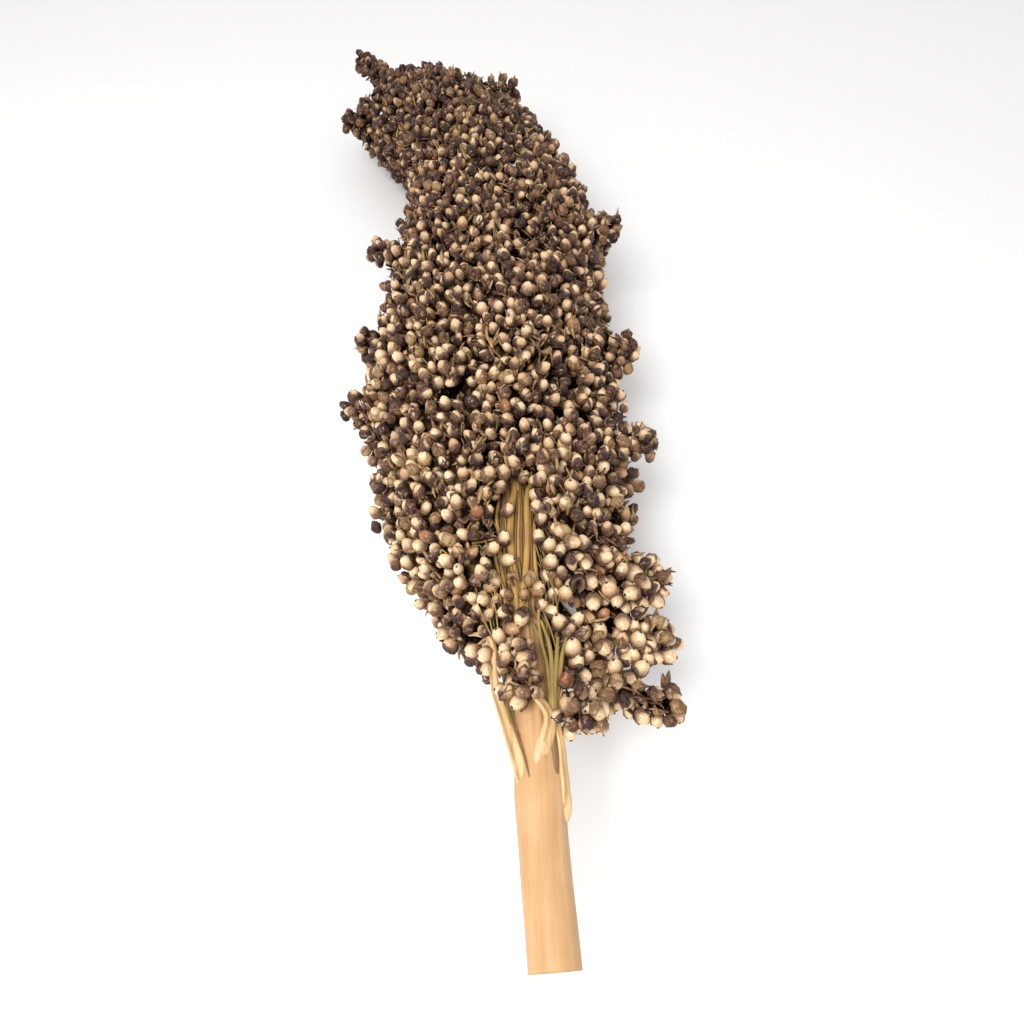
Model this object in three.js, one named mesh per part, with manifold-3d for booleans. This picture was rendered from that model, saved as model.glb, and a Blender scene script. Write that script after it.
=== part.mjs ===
// A dried sorghum seed head, cut with a short stub of its stem and lying on its side.
// Millimetres, +Z up. The stem points to -Y and the tip of the head to +Y.
//
// The real head is one plant stem, the peduncle, which runs on through the head as its rachis.
// Whorls of thin branches leave the rachis, and each ends in a dense spray of round seeds.
// Here the peduncle, rachis and branches are one mesh, and every spray of seeds is another.
// The seeds are drawn about 1.8 times life size, raised from the skin of their spray.

import * as THREE from "three";
import Module from "manifold-3d";

const wasm = await Module();
wasm.setup();

// Driving dimensions

// The peduncle from its cut end up to the rachis: its middle line and radius. It swells a little
// where the lowest branches leave it.
const PEDUNCLE = [
  { y: -163, x: 8.6, z: 41.5, radius: 5.5 },
  { y: -148, x: 7.4, z: 41.3, radius: 5.5 },
  { y: -136, x: 6.6, z: 41, radius: 5.5 },
  { y: -130, x: 6.5, z: 40.8, radius: 6.1 },
  { y: -124, x: 6.4, z: 40.6, radius: 5.8 },
];
const STEM_SIDES = 10;

// The rachis that it runs on as, through the head.
const RACHIS = [
  { y: -118, x: 6.2, z: 40.8, radius: 5.4 },
  { y: -90, x: 3.6, z: 41.8, radius: 4.9 },
  { y: -55, x: 1.2, z: 42, radius: 4.3 },
  { y: -10, x: -4, z: 35, radius: 3.4 },
  { y: 50, x: -6, z: 30, radius: 2.8 },
  { y: 105, x: -10, z: 29, radius: 2.2 },
  { y: 150, x: -28, z: 27, radius: 1.7 },
  { y: 180, x: -43, z: 24, radius: 1.2 },
];

// The head's skin before its seeds, as sections across the rachis. y is the place along the head,
// x and z the section's middle, left and right its half widths, up and down its half heights.
const SECTIONS = [
  { y: -114, x: 7, z: 41, left: 8, right: 12, up: 7, down: 8 },
  { y: -96, x: 7.5, z: 38.5, left: 15.5, right: 22, up: 11, down: 18 },
  { y: -76, x: 4, z: 35, left: 26, right: 29.5, up: 17, down: 27 },
  { y: -50, x: -1, z: 32, left: 34.5, right: 35.5, up: 23, down: 30.5 },
  { y: -15, x: -5.5, z: 30, left: 41, right: 39, up: 27, down: 29.5 },
  { y: 30, x: -6, z: 30, left: 40, right: 38, up: 27, down: 29.5 },
  { y: 70, x: -6, z: 30, left: 36, right: 39, up: 27, down: 29.5 },
  { y: 105, x: -10, z: 29, left: 30.5, right: 36.5, up: 26, down: 28.5 },
  { y: 135, x: -21, z: 28, left: 27.5, right: 33.5, up: 24, down: 27.5 },
  { y: 165, x: -36, z: 26, left: 28.5, right: 29, up: 20, down: 25.5 },
  { y: 186, x: -46, z: 23, left: 30, right: 23, up: 16, down: 21 },
  { y: 198, x: -53, z: 21, left: 22, right: 14, up: 12, down: 14 },
  { y: 207, x: -61, z: 20, left: 11, right: 9, up: 8, down: 7 },
];
const SKIN_POWER = 2.25; // 2 is an ellipse, more is squarer

// Whorls of sprays. from and to are places along the head, count the sprays in the ring,
// across and along the seeds in one, turn where the first starts in degrees past straight up.
const WHORLS = [
  { from: -98, to: -24, count: 5, across: 4, along: 9, turn: 0 },
  { from: -24, to: 34, count: 6, across: 4, along: 8, turn: 12 },
  { from: 34, to: 92, count: 6, across: 4, along: 8, turn: -20 },
  { from: 92, to: 145, count: 5, across: 4, along: 7, turn: 10 },
  { from: 145, to: 200, count: 5, across: 4, along: 7, turn: -14 },
];
const RING_WAVE = 5; // how far the border between two whorls swings along the head
const RING_WAVES = 3; // times round the head, and each ring's are turned from the last by this
const RING_WAVE_TURN = 1.9;
const SPRAY_TWIST = 0.0022; // radians that a border between two sprays turns per millimetre
const SPRAY_GAP = 0.75; // from a spray's side to the border with the next
const KEEL_DEPTH = 10; // from the skin in to the branch that a spray grows from
const KEEL_SHARE = 0.38; // of the way to the head's middle, at most
const KEEL_FEET = [0.12, 0.37, 0.62, 0.87]; // along a spray, where its keel narrows to a point
// The first whorl leaves the rachis bare along its top, over this half angle at its lower end.
// The bare strip narrows to a crack at this share of the whorl's length.
const BARE = { below: 42, crack: 3, closed: 0.66 };

// Free clubs, each on its own branch: foot and tip are their ends, radius the widest.
const CLUBS = [
  { name: "spray_base_right_low", foot: [20, -106.5, 45], tip: [40.5, -111.5, 44], radius: 5.2, along: 5 },
  { name: "spray_base_hanging", foot: [13.4, -108.5, 51], tip: [19.5, -117, 48], radius: 4.7, along: 3 },
  { name: "spray_base_front", foot: [3, -112.5, 50.8], tip: [1, -96.5, 52], radius: 4.3, along: 4 },
  { name: "spray_tip", foot: [-51, 190, 20.5], tip: [-63, 210, 20.5], radius: 9, along: 5 },
];
const CLUB_AROUND = 5; // seeds round a club
const CLUB_ENDS = 0.04; // its seeds start at this share of its length, and stop as short of its tip
const CLUB_NECK = 0.72; // its shape is this much slimmer at the foot, and grows by CLUB_SPREAD
const CLUB_SPREAD = 0.4;
const CLUB_LEAST = 1.2; // and its seeds never lie nearer its middle line

// Racemes that stand out of a spray and are part of it. root is where one leaves it, as shares
// across and along the spray, and tip its far end.
const RACEMES = [
  { from: "spray_whorl1_1", root: [0.35, 0.08], tip: [-20.5, -91, 37.5], radius: 3.8 },
  { from: "spray_whorl1_5", root: [0.65, 0.08], tip: [41.5, -96.5, 43], radius: 6 },
  { from: "spray_whorl1_5", root: [0.6, 0.3], tip: [41.5, -80, 44], radius: 6.6 },
  { from: "spray_whorl1_5", root: [0.6, 0.9], tip: [43, -33, 43.4], radius: 5.6 },
  { from: "spray_whorl2_2", root: [0.5, 0.3], tip: [-55.5, -8, 34], radius: 4.8 },
  { from: "spray_whorl2_2", root: [0.5, 0.85], tip: [-52, 17, 36], radius: 5 },
  { from: "spray_whorl2_5", root: [0.4, 0.55], tip: [43, 11, 38], radius: 6 },
  { from: "spray_whorl3_2", root: [0.6, 0.3], tip: [-52.5, 64, 36], radius: 6 },
  { from: "spray_whorl3_6", root: [0.6, 0.45], tip: [41, 65, 45], radius: 6.4 },
  { from: "spray_whorl5_5", root: [0.45, 0.35], tip: [5, 165, 40], radius: 7.4 },
  { from: "spray_whorl5_2", root: [0.5, 0.45], tip: [-78.5, 165, 31], radius: 4.6 },
  { from: "spray_whorl5_1", root: [0.4, 0.8], tip: [-73.5, 209, 34], radius: 6 },
];

// Branches that lie bare against the stem below the seeds, each a row of points and their radius.
const LOW_BRANCHES = [
  [
    [3.6, -128, 43.5, 0.6],
    [1.4, -122, 43.5, 1.3],
    [-0.8, -115.5, 43.2, 1.4],
    [-3.4, -107.5, 43, 1.2],
    [-4.4, -101.5, 44, 1],
  ],
  [
    [11.4, -134.5, 42.6, 1.5],
    [11.6, -131, 43, 1.3],
    [11.3, -123, 43.4, 1.1],
    [10.6, -115, 44.2, 1.1],
    [10, -107, 45.6, 1],
    [11.6, -98, 46.8, 0.9],
  ],
  [
    [6.8, -124.5, 44.6, 1],
    [8.4, -117, 46, 1.5],
    [7.6, -113, 47, 1.2],
    [4.8, -110, 48.4, 0.9],
  ],
];

// How deep under the skin a raceme starts, and how many rows of seeds it has.
const RACEME_DEPTH = 4;
const RACEME_ALONG = 4;

// The branch of a spray: how far down the stem it leaves, how it bends, and how it thins.
const BRANCH_HUG = { whorl: 24, club: 14 };
const BRANCH_LOWEST_Y = -126;
const BRANCH_BEND = { back: 0.35, out: 0.45 }; // of its hug, and of the way out to the spray
const BRANCH_RADII = { leave: 1.9, bend: 1.3, end: 0.6 };
const BRANCH_SIDES = { inner: 4, low: 5 };

// Seeds as they stand on a spray: heights from the skin, and how the spray's own skin is bowed.
const SEED_TOP = 2;
const SEED_VALLEY = -1.7;
const SEED_UNEVEN = 0.5; // a seed's top may stand this much higher or lower than its neighbours'
const SEED_FLAT = { across: 0.6, along: 0.52 }; // of a seed's cell, the reach of its flat top
const CLUB_RELIEF = 0.7; // seeds on a club stand out by this share of those heights
const SPRAY_BOW = 0.5; // a whole spray may lie this much higher or lower
const EDGE_DROP = 2.4; // a spray's two sides lie this much deeper than its middle
const EDGE_ROUND = 2.4; // with this power of the way out to them
const SHINGLE_RISE = 2.4; // its upper end stands out from its lower end by this much
const UPPER_END = 0.82; // past this share of its length, its last seeds turn in again
const UPPER_END_DROP = 2; // by this much
// The bow fades out on the underside, between these sines of the angle below level.
const UNDERSIDE = { from: 0.25, to: 0.8 };

const TOUCH_GAP = 1; // between a branch and the spray at its end

const COLOURS = { straw: 0xd8b47a, seeds: 0x9c7a58 };

// Seeded draws, so that the head grows alike each time

let drawState = 20240611;
function draw() {
  drawState = (Math.imul(drawState, 1664525) + 1013904223) >>> 0;
  return drawState / 4294967296;
}
const drawBetween = (low, high) => low + (high - low) * draw();

// Curves through the tables above

// The value of one column of a table at y, on a cubic that passes smoothly through its rows.
function column(table, name, y) {
  const last = table.length - 1;
  if (y <= table[0].y) return table[0][name];
  if (y >= table[last].y) return table[last][name];
  let i = 0;
  while (table[i + 1].y < y) i++;
  const slope = (k) => {
    const before = table[Math.max(k - 1, 0)];
    const after = table[Math.min(k + 1, last)];
    return (after[name] - before[name]) / (after.y - before.y);
  };
  const span = table[i + 1].y - table[i].y;
  const t = (y - table[i].y) / span;
  const t2 = t * t;
  const t3 = t2 * t;
  return (
    (2 * t3 - 3 * t2 + 1) * table[i][name] +
    (t3 - 2 * t2 + t) * span * slope(i) +
    (3 * t2 - 2 * t3) * table[i + 1][name] +
    (t3 - t2) * span * slope(i + 1)
  );
}

// The head's skin. angle is 0 to the right and a quarter turn straight up.
function skinPoint(y, angle) {
  const middle = new THREE.Vector3(column(SECTIONS, "x", y), y, column(SECTIONS, "z", y));
  const lean = (column(SECTIONS, "x", y + 1) - column(SECTIONS, "x", y - 1)) / 2;
  const across = new THREE.Vector3(1, -lean, 0).normalize();
  const side = column(SECTIONS, Math.cos(angle) > 0 ? "right" : "left", y);
  const height = column(SECTIONS, Math.sin(angle) > 0 ? "up" : "down", y);
  const sideways = (Math.abs(Math.cos(angle)) / side) ** SKIN_POWER;
  const upright = (Math.abs(Math.sin(angle)) / height) ** SKIN_POWER;
  const radius = (sideways + upright) ** (-1 / SKIN_POWER);
  middle.addScaledVector(across, radius * Math.cos(angle));
  middle.z += radius * Math.sin(angle);
  return middle;
}

// A point that stands off the skin, and never under the surface that the head lies on.
function offSkin(y, angle, height) {
  const [step, turn] = [0.6, 0.02];
  const along = skinPoint(y + step, angle).sub(skinPoint(y - step, angle));
  const around = skinPoint(y, angle + turn).sub(skinPoint(y, angle - turn));
  const outward = new THREE.Vector3().crossVectors(along, around).normalize();
  const point = skinPoint(y, angle).addScaledVector(outward, height);
  point.z = Math.max(point.z, 0);
  return point;
}

// Meshes and solids

// A closed mesh being collected: points, and triangles that name them.
class Shell {
  points = [];
  triangles = [];
  add(point) {
    this.points.push(point.x, point.y, point.z);
    return this.points.length / 3 - 1;
  }
  face(...corners) {
    this.triangles.push(...corners);
  }
  solid() {
    return new wasm.Manifold(
      new wasm.Mesh({
        numProp: 3,
        vertProperties: new Float32Array(this.points),
        triVerts: new Uint32Array(this.triangles),
      }),
    );
  }
}

function meshOf(name, solid, colour, roughness) {
  const { vertProperties, triVerts } = solid.getMesh();
  const geometry = new THREE.BufferGeometry();
  geometry.setAttribute("position", new THREE.BufferAttribute(vertProperties, 3));
  geometry.setIndex(new THREE.BufferAttribute(triVerts, 1));
  geometry.computeVertexNormals();
  const material = new THREE.MeshStandardMaterial({ color: colour, roughness, metalness: 0 });
  const mesh = new THREE.Mesh(geometry, material);
  mesh.name = name;
  return mesh;
}

// Seeds on a sheet of staggered six-sided cells. place(u, v, height) puts a point of the unit
// square at a height over the sheet. wrap joins the sheet's two sides, as round a club.
// Returns the border's directed edges when it is open at the sides, or at both ends when wrapped.
function seedSheet(shell, across, along, wrap, place) {
  const cellWide = wrap ? 1 / across : 1 / (across + 0.5);
  const cellLong = 1 / (0.75 * along + 0.25);
  const corners = new Map();
  const corner = (halfColumn, quarterRow) => {
    const turn = wrap ? halfColumn % (2 * across) : halfColumn;
    const key = `${turn},${quarterRow}`;
    if (!corners.has(key)) {
      const point = place((turn * cellWide) / 2, (quarterRow * cellLong) / 4, SEED_VALLEY);
      corners.set(key, shell.add(point));
    }
    return corners.get(key);
  };
  const edges = new Map();
  for (let row = 0; row < along; row++) {
    for (let column = 0; column < across; column++) {
      const left = 2 * column + (row % 2);
      const low = 3 * row;
      const ring = [
        corner(left + 1, low),
        corner(left + 2, low + 1),
        corner(left + 2, low + 3),
        corner(left + 1, low + 4),
        corner(left, low + 3),
        corner(left, low + 1),
      ];
      const u = ((left + 1) * cellWide) / 2;
      const v = ((low + 2) * cellLong) / 4;
      const height = SEED_TOP + drawBetween(-SEED_UNEVEN, SEED_UNEVEN);
      const flip = draw() < 0.5 ? 1 : 0;
      const top = [0, 1, 2].map((k) => {
        const turn = ((2 * k + flip) / 6) * 2 * Math.PI - Math.PI / 2;
        const topU = u + (cellWide / 2) * SEED_FLAT.across * Math.cos(turn);
        const topV = v + (cellLong / 2) * SEED_FLAT.along * Math.sin(turn);
        return shell.add(place(topU, topV, height));
      });
      shell.face(...top);
      for (let k = 0; k < 3; k++) {
        const here = ring[(2 * k + flip) % 6];
        const next = ring[(2 * k + flip + 1) % 6];
        const after = ring[(2 * k + flip + 2) % 6];
        shell.face(here, next, top[k]);
        shell.face(next, top[(k + 1) % 3], top[k]);
        shell.face(next, after, top[(k + 1) % 3]);
      }
      ring.forEach((from, k) => {
        const to = ring[(k + 1) % 6];
        if (!edges.delete(`${to},${from}`)) edges.set(`${from},${to}`, [from, to]);
      });
    }
  }
  return [...edges.values()];
}

// Sprays in the whorls

const smooth = (low, high, x) => {
  const t = Math.min(Math.max((x - low) / (high - low), 0), 1);
  return t * t * (3 - 2 * t);
};

// Where the border below whorl k lies, at an angle round the head.
function ringBorder(k, angle) {
  const middle = k < WHORLS.length ? WHORLS[k].from : WHORLS[k - 1].to;
  const swing = k === 0 || k === WHORLS.length ? 0.5 * RING_WAVE : RING_WAVE;
  return middle + swing * Math.sin(RING_WAVES * angle + RING_WAVE_TURN * k);
}

// Where a border between two sprays of a whorl lies round the head: half turns with y.
function sprayBorder(k, index, y) {
  const whorl = WHORLS[k];
  const share = (y - whorl.from) / (whorl.to - whorl.from);
  const closing = Math.min(share / BARE.closed, 1);
  const bareDegrees = k === 0 ? THREE.MathUtils.lerp(BARE.below, BARE.crack, closing) : 0;
  const bare = THREE.MathUtils.degToRad(bareDegrees);
  const twist = k === 0 ? 0 : SPRAY_TWIST * (y - whorl.from);
  const start = Math.PI / 2 + THREE.MathUtils.degToRad(whorl.turn) + bare + twist;
  return start + ((2 * Math.PI - 2 * bare) * index) / whorl.count;
}

// One spray: a sheet of seeds on the head's skin, closed by a keel that narrows to its branch.
function whorlSpray(k, index) {
  const whorl = WHORLS[k];
  const bow = drawBetween(-SPRAY_BOW, SPRAY_BOW);

  // Angles grow from u 1 to u 0, so that the sheet's front faces outwards. Its two sides pass
  // the borders by a quarter of a seed, so that they mesh with the sides of its neighbours.
  const meshing = 0.25 / whorl.across;
  const at = (sheetU, v) => {
    const u = sheetU + (2 * sheetU - 1) * meshing;
    const share = (1 - u + index) / whorl.count;
    const rough = Math.PI / 2 + THREE.MathUtils.degToRad(whorl.turn) + 2 * Math.PI * share;
    const from = ringBorder(k, rough) + SPRAY_GAP;
    const to = ringBorder(k + 1, rough) - SPRAY_GAP;
    const y = from + v * (to - from);
    const width = skinPoint(y, rough).distanceTo(skinPoint(y, rough + Math.PI));
    const gap = ((2 * sheetU - 1) * SPRAY_GAP) / (width / 2);
    const low = sprayBorder(k, index, y);
    const high = sprayBorder(k, index + 1, y);
    return { y, angle: low + (1 - u) * (high - low) + gap };
  };
  const shares = []; // how far along the spray each point of the sheet lies
  const place = (u, v, height) => {
    shares.push(v);
    const { y, angle } = at(u, v);
    const under = smooth(UNDERSIDE.from, UNDERSIDE.to, -Math.sin(angle));
    const sides = EDGE_DROP * Math.abs(2 * u - 1) ** EDGE_ROUND;
    const ends = SHINGLE_RISE * (v - 0.5) - UPPER_END_DROP * smooth(UPPER_END, 1, v);
    return offSkin(y, angle, height + (bow + ends - sides) * (1 - under));
  };

  const shell = new Shell();
  const border = seedSheet(shell, whorl.across, whorl.along, false, place);
  const keel = KEEL_FEET.map((v) => {
    const { y, angle } = at(0.5, v);
    const middle = new THREE.Vector3(column(SECTIONS, "x", y), y, column(SECTIONS, "z", y));
    const skin = skinPoint(y, angle);
    const depth = Math.min(KEEL_DEPTH, KEEL_SHARE * skin.distanceTo(middle));
    return skin.lerp(middle, depth / skin.distanceTo(middle));
  });
  const feet = keel.map((point) => shell.add(point));
  const footOf = (vertex) => {
    const isPast = (foot, i) => i > 0 && shares[vertex] < (KEEL_FEET[i - 1] + foot) / 2;
    const next = KEEL_FEET.findIndex(isPast);
    return feet[next < 0 ? feet.length - 1 : next - 1];
  };
  for (const [from, to] of border) {
    const fromFoot = footOf(from);
    const toFoot = footOf(to);
    if (fromFoot === toFoot) {
      shell.face(to, from, fromFoot);
    } else if (shares[to] < shares[from]) {
      shell.face(to, from, fromFoot);
      shell.face(to, fromFoot, toFoot);
    } else {
      shell.face(from, fromFoot, toFoot);
      shell.face(from, toFoot, to);
    }
  }
  const rootAt = (u, v) => {
    const { y, angle } = at(u, v);
    return offSkin(y, angle, -RACEME_DEPTH);
  };
  return { solid: shell.solid(), root: keel[0], rootAt };
}

// A club of seeds: a sheet wrapped round a gently bent line from its foot to its tip.
function club({ foot, tip, radius, along }) {
  const start = new THREE.Vector3(...foot);
  const end = new THREE.Vector3(...tip);
  const direction = end.clone().sub(start);
  const length = direction.length();
  direction.normalize();
  const side = new THREE.Vector3().crossVectors(direction, new THREE.Vector3(0, 0, 1)).normalize();
  const up = new THREE.Vector3().crossVectors(side, direction);
  const place = (u, v, height) => {
    const share = THREE.MathUtils.lerp(CLUB_ENDS, 1 - CLUB_ENDS, v);
    const round = Math.sqrt(4 * share * (1 - share));
    const girth = radius * round * (CLUB_NECK + CLUB_SPREAD * share);
    const reach = Math.max(girth + CLUB_RELIEF * (height - SEED_TOP), CLUB_LEAST);
    const turn = -2 * Math.PI * u;
    const point = start.clone().addScaledVector(direction, share * length);
    point.addScaledVector(side, reach * Math.cos(turn)).addScaledVector(up, reach * Math.sin(turn));
    point.z = Math.max(point.z, 0);
    return point;
  };
  const shell = new Shell();
  const border = seedSheet(shell, CLUB_AROUND, along, true, place);
  const caps = [shell.add(start), shell.add(end)];
  const half = start.clone().lerp(end, 0.5);
  for (const [from, to] of border) {
    const point = new THREE.Vector3().fromArray(shell.points, 3 * from).sub(half);
    shell.face(to, from, caps[point.dot(direction) < 0 ? 0 : 1]);
  }
  return { solid: shell.solid(), root: start.clone().addScaledVector(direction, -TOUCH_GAP) };
}

// Peduncle, rachis and branches

// A tapered tube with flat ends along a row of points, each with its radius.
function taperedTube(line, sides) {
  const shell = new Shell();
  const rings = line.map(({ point, radius }, i) => {
    const ahead = line[Math.min(i + 1, line.length - 1)].point;
    const behind = line[Math.max(i - 1, 0)].point;
    const along = ahead.clone().sub(behind).normalize();
    const upright = Math.abs(along.z) > 0.9 ? new THREE.Vector3(0, 1, 0) : new THREE.Vector3(0, 0, 1);
    const side = new THREE.Vector3().crossVectors(along, upright).normalize();
    const up = new THREE.Vector3().crossVectors(side, along);
    return Array.from({ length: sides }, (_, k) => {
      const turn = (2 * Math.PI * k) / sides;
      return shell.add(
        point
          .clone()
          .addScaledVector(side, radius * Math.cos(turn))
          .addScaledVector(up, radius * Math.sin(turn)),
      );
    });
  });
  for (let i = 0; i + 1 < rings.length; i++) {
    for (let k = 0; k < sides; k++) {
      const [a, b] = [rings[i][k], rings[i][(k + 1) % sides]];
      const [c, d] = [rings[i + 1][(k + 1) % sides], rings[i + 1][k]];
      shell.face(a, c, b);
      shell.face(a, d, c);
    }
  }
  const [first, last] = [rings[0], rings[rings.length - 1]];
  for (let k = 1; k + 1 < sides; k++) {
    shell.face(first[0], first[k], first[k + 1]);
    shell.face(last[0], last[k + 1], last[k]);
  }
  return shell.solid();
}

function rachisPoint(y) {
  return new THREE.Vector3(column(RACHIS, "x", y), y, column(RACHIS, "z", y));
}

// A branch leaves the rachis low and curves out to the foot of its spray.
function branch(root, hug) {
  const leave = rachisPoint(Math.max(root.y - hug, BRANCH_LOWEST_Y));
  const bend = rachisPoint(root.y - BRANCH_BEND.back * hug).lerp(root, BRANCH_BEND.out);
  const run = root.clone().sub(bend);
  const end = bend.clone().add(run.setLength(run.length() - TOUCH_GAP));
  const line = [
    { point: leave, radius: BRANCH_RADII.leave },
    { point: bend, radius: BRANCH_RADII.bend },
    { point: end, radius: BRANCH_RADII.end },
  ];
  return taperedTube(line, BRANCH_SIDES.inner);
}

// The head, put together

const sprays = [];
WHORLS.forEach((whorl, k) => {
  for (let index = 0; index < whorl.count; index++) {
    const name = `spray_whorl${k + 1}_${index + 1}`;
    sprays.push({ name, hug: BRANCH_HUG.whorl, ...whorlSpray(k, index) });
  }
});
for (const entry of CLUBS) {
  sprays.push({ name: entry.name, hug: BRANCH_HUG.club, ...club(entry) });
}

for (const { from, root, tip, radius } of RACEMES) {
  const spray = sprays.find(({ name }) => name === from);
  const foot = spray.rootAt(...root).toArray();
  const both = spray.solid.add(club({ foot, tip, radius, along: RACEME_ALONG }).solid);
  spray.solid = both.decompose().reduce((one, other) => (other.volume() > one.volume() ? other : one));
}

const stemLine = [...PEDUNCLE, ...RACHIS].map(({ x, y, z, radius }) => ({
  point: new THREE.Vector3(x, y, z),
  radius,
}));
let stem = taperedTube(stemLine, STEM_SIDES);
for (const points of LOW_BRANCHES) {
  const line = points.map(([x, y, z, radius]) => ({ point: new THREE.Vector3(x, y, z), radius }));
  stem = stem.add(taperedTube(line, BRANCH_SIDES.low));
}
for (const { root, hug } of sprays) stem = stem.add(branch(root, hug));

const head = new THREE.Group();
head.add(meshOf("stem_and_branches", stem, COLOURS.straw, 0.6));
for (const { name, solid } of sprays) head.add(meshOf(name, solid, COLOURS.seeds, 0.75));

// The frame's origin is under the middle of the head, on the surface that it lies on.
const bounds = new THREE.Box3().setFromObject(head);
const middle = bounds.getCenter(new THREE.Vector3());
head.position.set(-middle.x, -middle.y, -bounds.min.z);

export default head;
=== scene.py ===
"""A dry sorghum seed head on a short length of its stem, lying on a pale floor."""

import bpy
import numpy as np
from mathutils.bvhtree import BVHTree
from mathutils.kdtree import KDTree
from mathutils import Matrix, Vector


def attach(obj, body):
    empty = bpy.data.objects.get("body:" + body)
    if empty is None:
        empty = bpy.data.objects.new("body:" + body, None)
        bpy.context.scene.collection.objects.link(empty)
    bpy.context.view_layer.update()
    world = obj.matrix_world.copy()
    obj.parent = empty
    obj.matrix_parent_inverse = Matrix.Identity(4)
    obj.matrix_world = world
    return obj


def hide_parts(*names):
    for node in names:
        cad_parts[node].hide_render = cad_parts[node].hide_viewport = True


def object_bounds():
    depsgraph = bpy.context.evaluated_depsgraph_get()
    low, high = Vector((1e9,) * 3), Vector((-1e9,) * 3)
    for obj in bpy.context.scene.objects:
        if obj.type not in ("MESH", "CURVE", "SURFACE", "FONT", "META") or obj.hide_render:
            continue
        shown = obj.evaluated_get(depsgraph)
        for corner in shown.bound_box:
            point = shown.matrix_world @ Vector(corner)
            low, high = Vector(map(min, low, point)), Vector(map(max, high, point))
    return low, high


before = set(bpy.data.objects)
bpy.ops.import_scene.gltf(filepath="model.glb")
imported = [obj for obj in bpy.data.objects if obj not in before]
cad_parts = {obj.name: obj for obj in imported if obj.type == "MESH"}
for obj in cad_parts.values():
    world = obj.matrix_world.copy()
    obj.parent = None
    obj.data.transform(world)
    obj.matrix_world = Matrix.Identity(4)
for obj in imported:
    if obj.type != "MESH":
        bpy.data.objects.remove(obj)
cad_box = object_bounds()

# The stem below the seeds: a straw-coloured cane, cut straight across, 11 mm thick.
# It is solid and grew in one piece with the rachis that runs on up inside the head.
# Its skin has fine lengthwise ribs, and furrows deepen above the scar of the lowest branches.

HEAD_PLACE = np.array([17.75, -23.667, 0.0])  # mm, where the head's own origin lies in the frame
CAD_LOW = np.array(cad_box[0]) * 1000
CAD_HIGH = np.array(cad_box[1]) * 1000


def turns(around):
    """The turns of a ring's points: that many even steps from 0, short of a whole turn."""
    return np.linspace(0, 2 * np.pi, around, endpoint=False)


def unit(vectors):
    """Each vector divided by its length."""
    return vectors / np.linalg.norm(vectors, axis=-1, keepdims=True)


def tube_triangles(rows, around):
    """Two triangles for each cell between the rings of a closed tube, then a fan to a point at each end.
    Points are numbered ring by ring, with the first end's point and the last end's after them."""
    row, turn = np.meshgrid(np.arange(rows - 1), np.arange(around), indexing="ij")
    here = row * around + turn
    beside = row * around + (turn + 1) % around
    sides = np.stack([here, beside, beside + around, here, beside + around, here + around], -1)
    turn = np.arange(around)
    beside = (turn + 1) % around
    end = (rows - 1) * around
    first = np.stack([np.full(around, rows * around), beside, turn], -1)
    last = np.stack([np.full(around, rows * around + 1), end + turn, end + beside], -1)
    return np.concatenate([sides.reshape(-1, 3), first, last])


def cross_frame(axis, roll):
    """Two unit vectors across each axis: the cross product of roll with it, and of the axis with that."""
    side = unit(np.cross(roll, axis))
    return side, np.cross(axis, side)


def tubes(paths, radii, around, flat=1.0, roll=(0.31, 0.12, 0.94)):
    """Rings carried along each path: centre + radius (cos turn side + flat sin turn up).
    Each end closes to a point. Returned with the triangles of one tube."""
    paths = np.asarray(paths, float)
    radii = np.broadcast_to(np.asarray(radii, float), paths.shape[:2])
    along = unit(np.gradient(paths, axis=1))
    side, up = cross_frame(along, np.broadcast_to(np.asarray(roll, float), along.shape))
    turn = turns(around)
    ring = (
        paths[:, :, None]
        + (radii[..., None] * np.cos(turn))[..., None] * side[:, :, None]
        + (radii[..., None] * np.sin(turn))[..., None] * flat * up[:, :, None]
    )
    points = np.concatenate([ring.reshape(len(paths), -1, 3), paths[:, :1], paths[:, -1:]], 1)
    return points, tube_triangles(paths.shape[1], around)


def curve(knots, count):
    """A smooth path through the knots' columns: cubic between knots, with slopes from their neighbours."""
    knots = np.asarray(knots, float)
    place = np.linspace(0, len(knots) - 1, count)
    k = np.minimum(place.astype(int), len(knots) - 2)
    t = (place - k)[:, None]
    slopes = np.gradient(knots, axis=0)
    return (
        (1 + 2 * t) * (1 - t) ** 2 * knots[k]
        + t * (1 - t) ** 2 * slopes[k]
        + t * t * (3 - 2 * t) * knots[k + 1]
        + t * t * (t - 1) * slopes[k + 1]
    )


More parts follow.
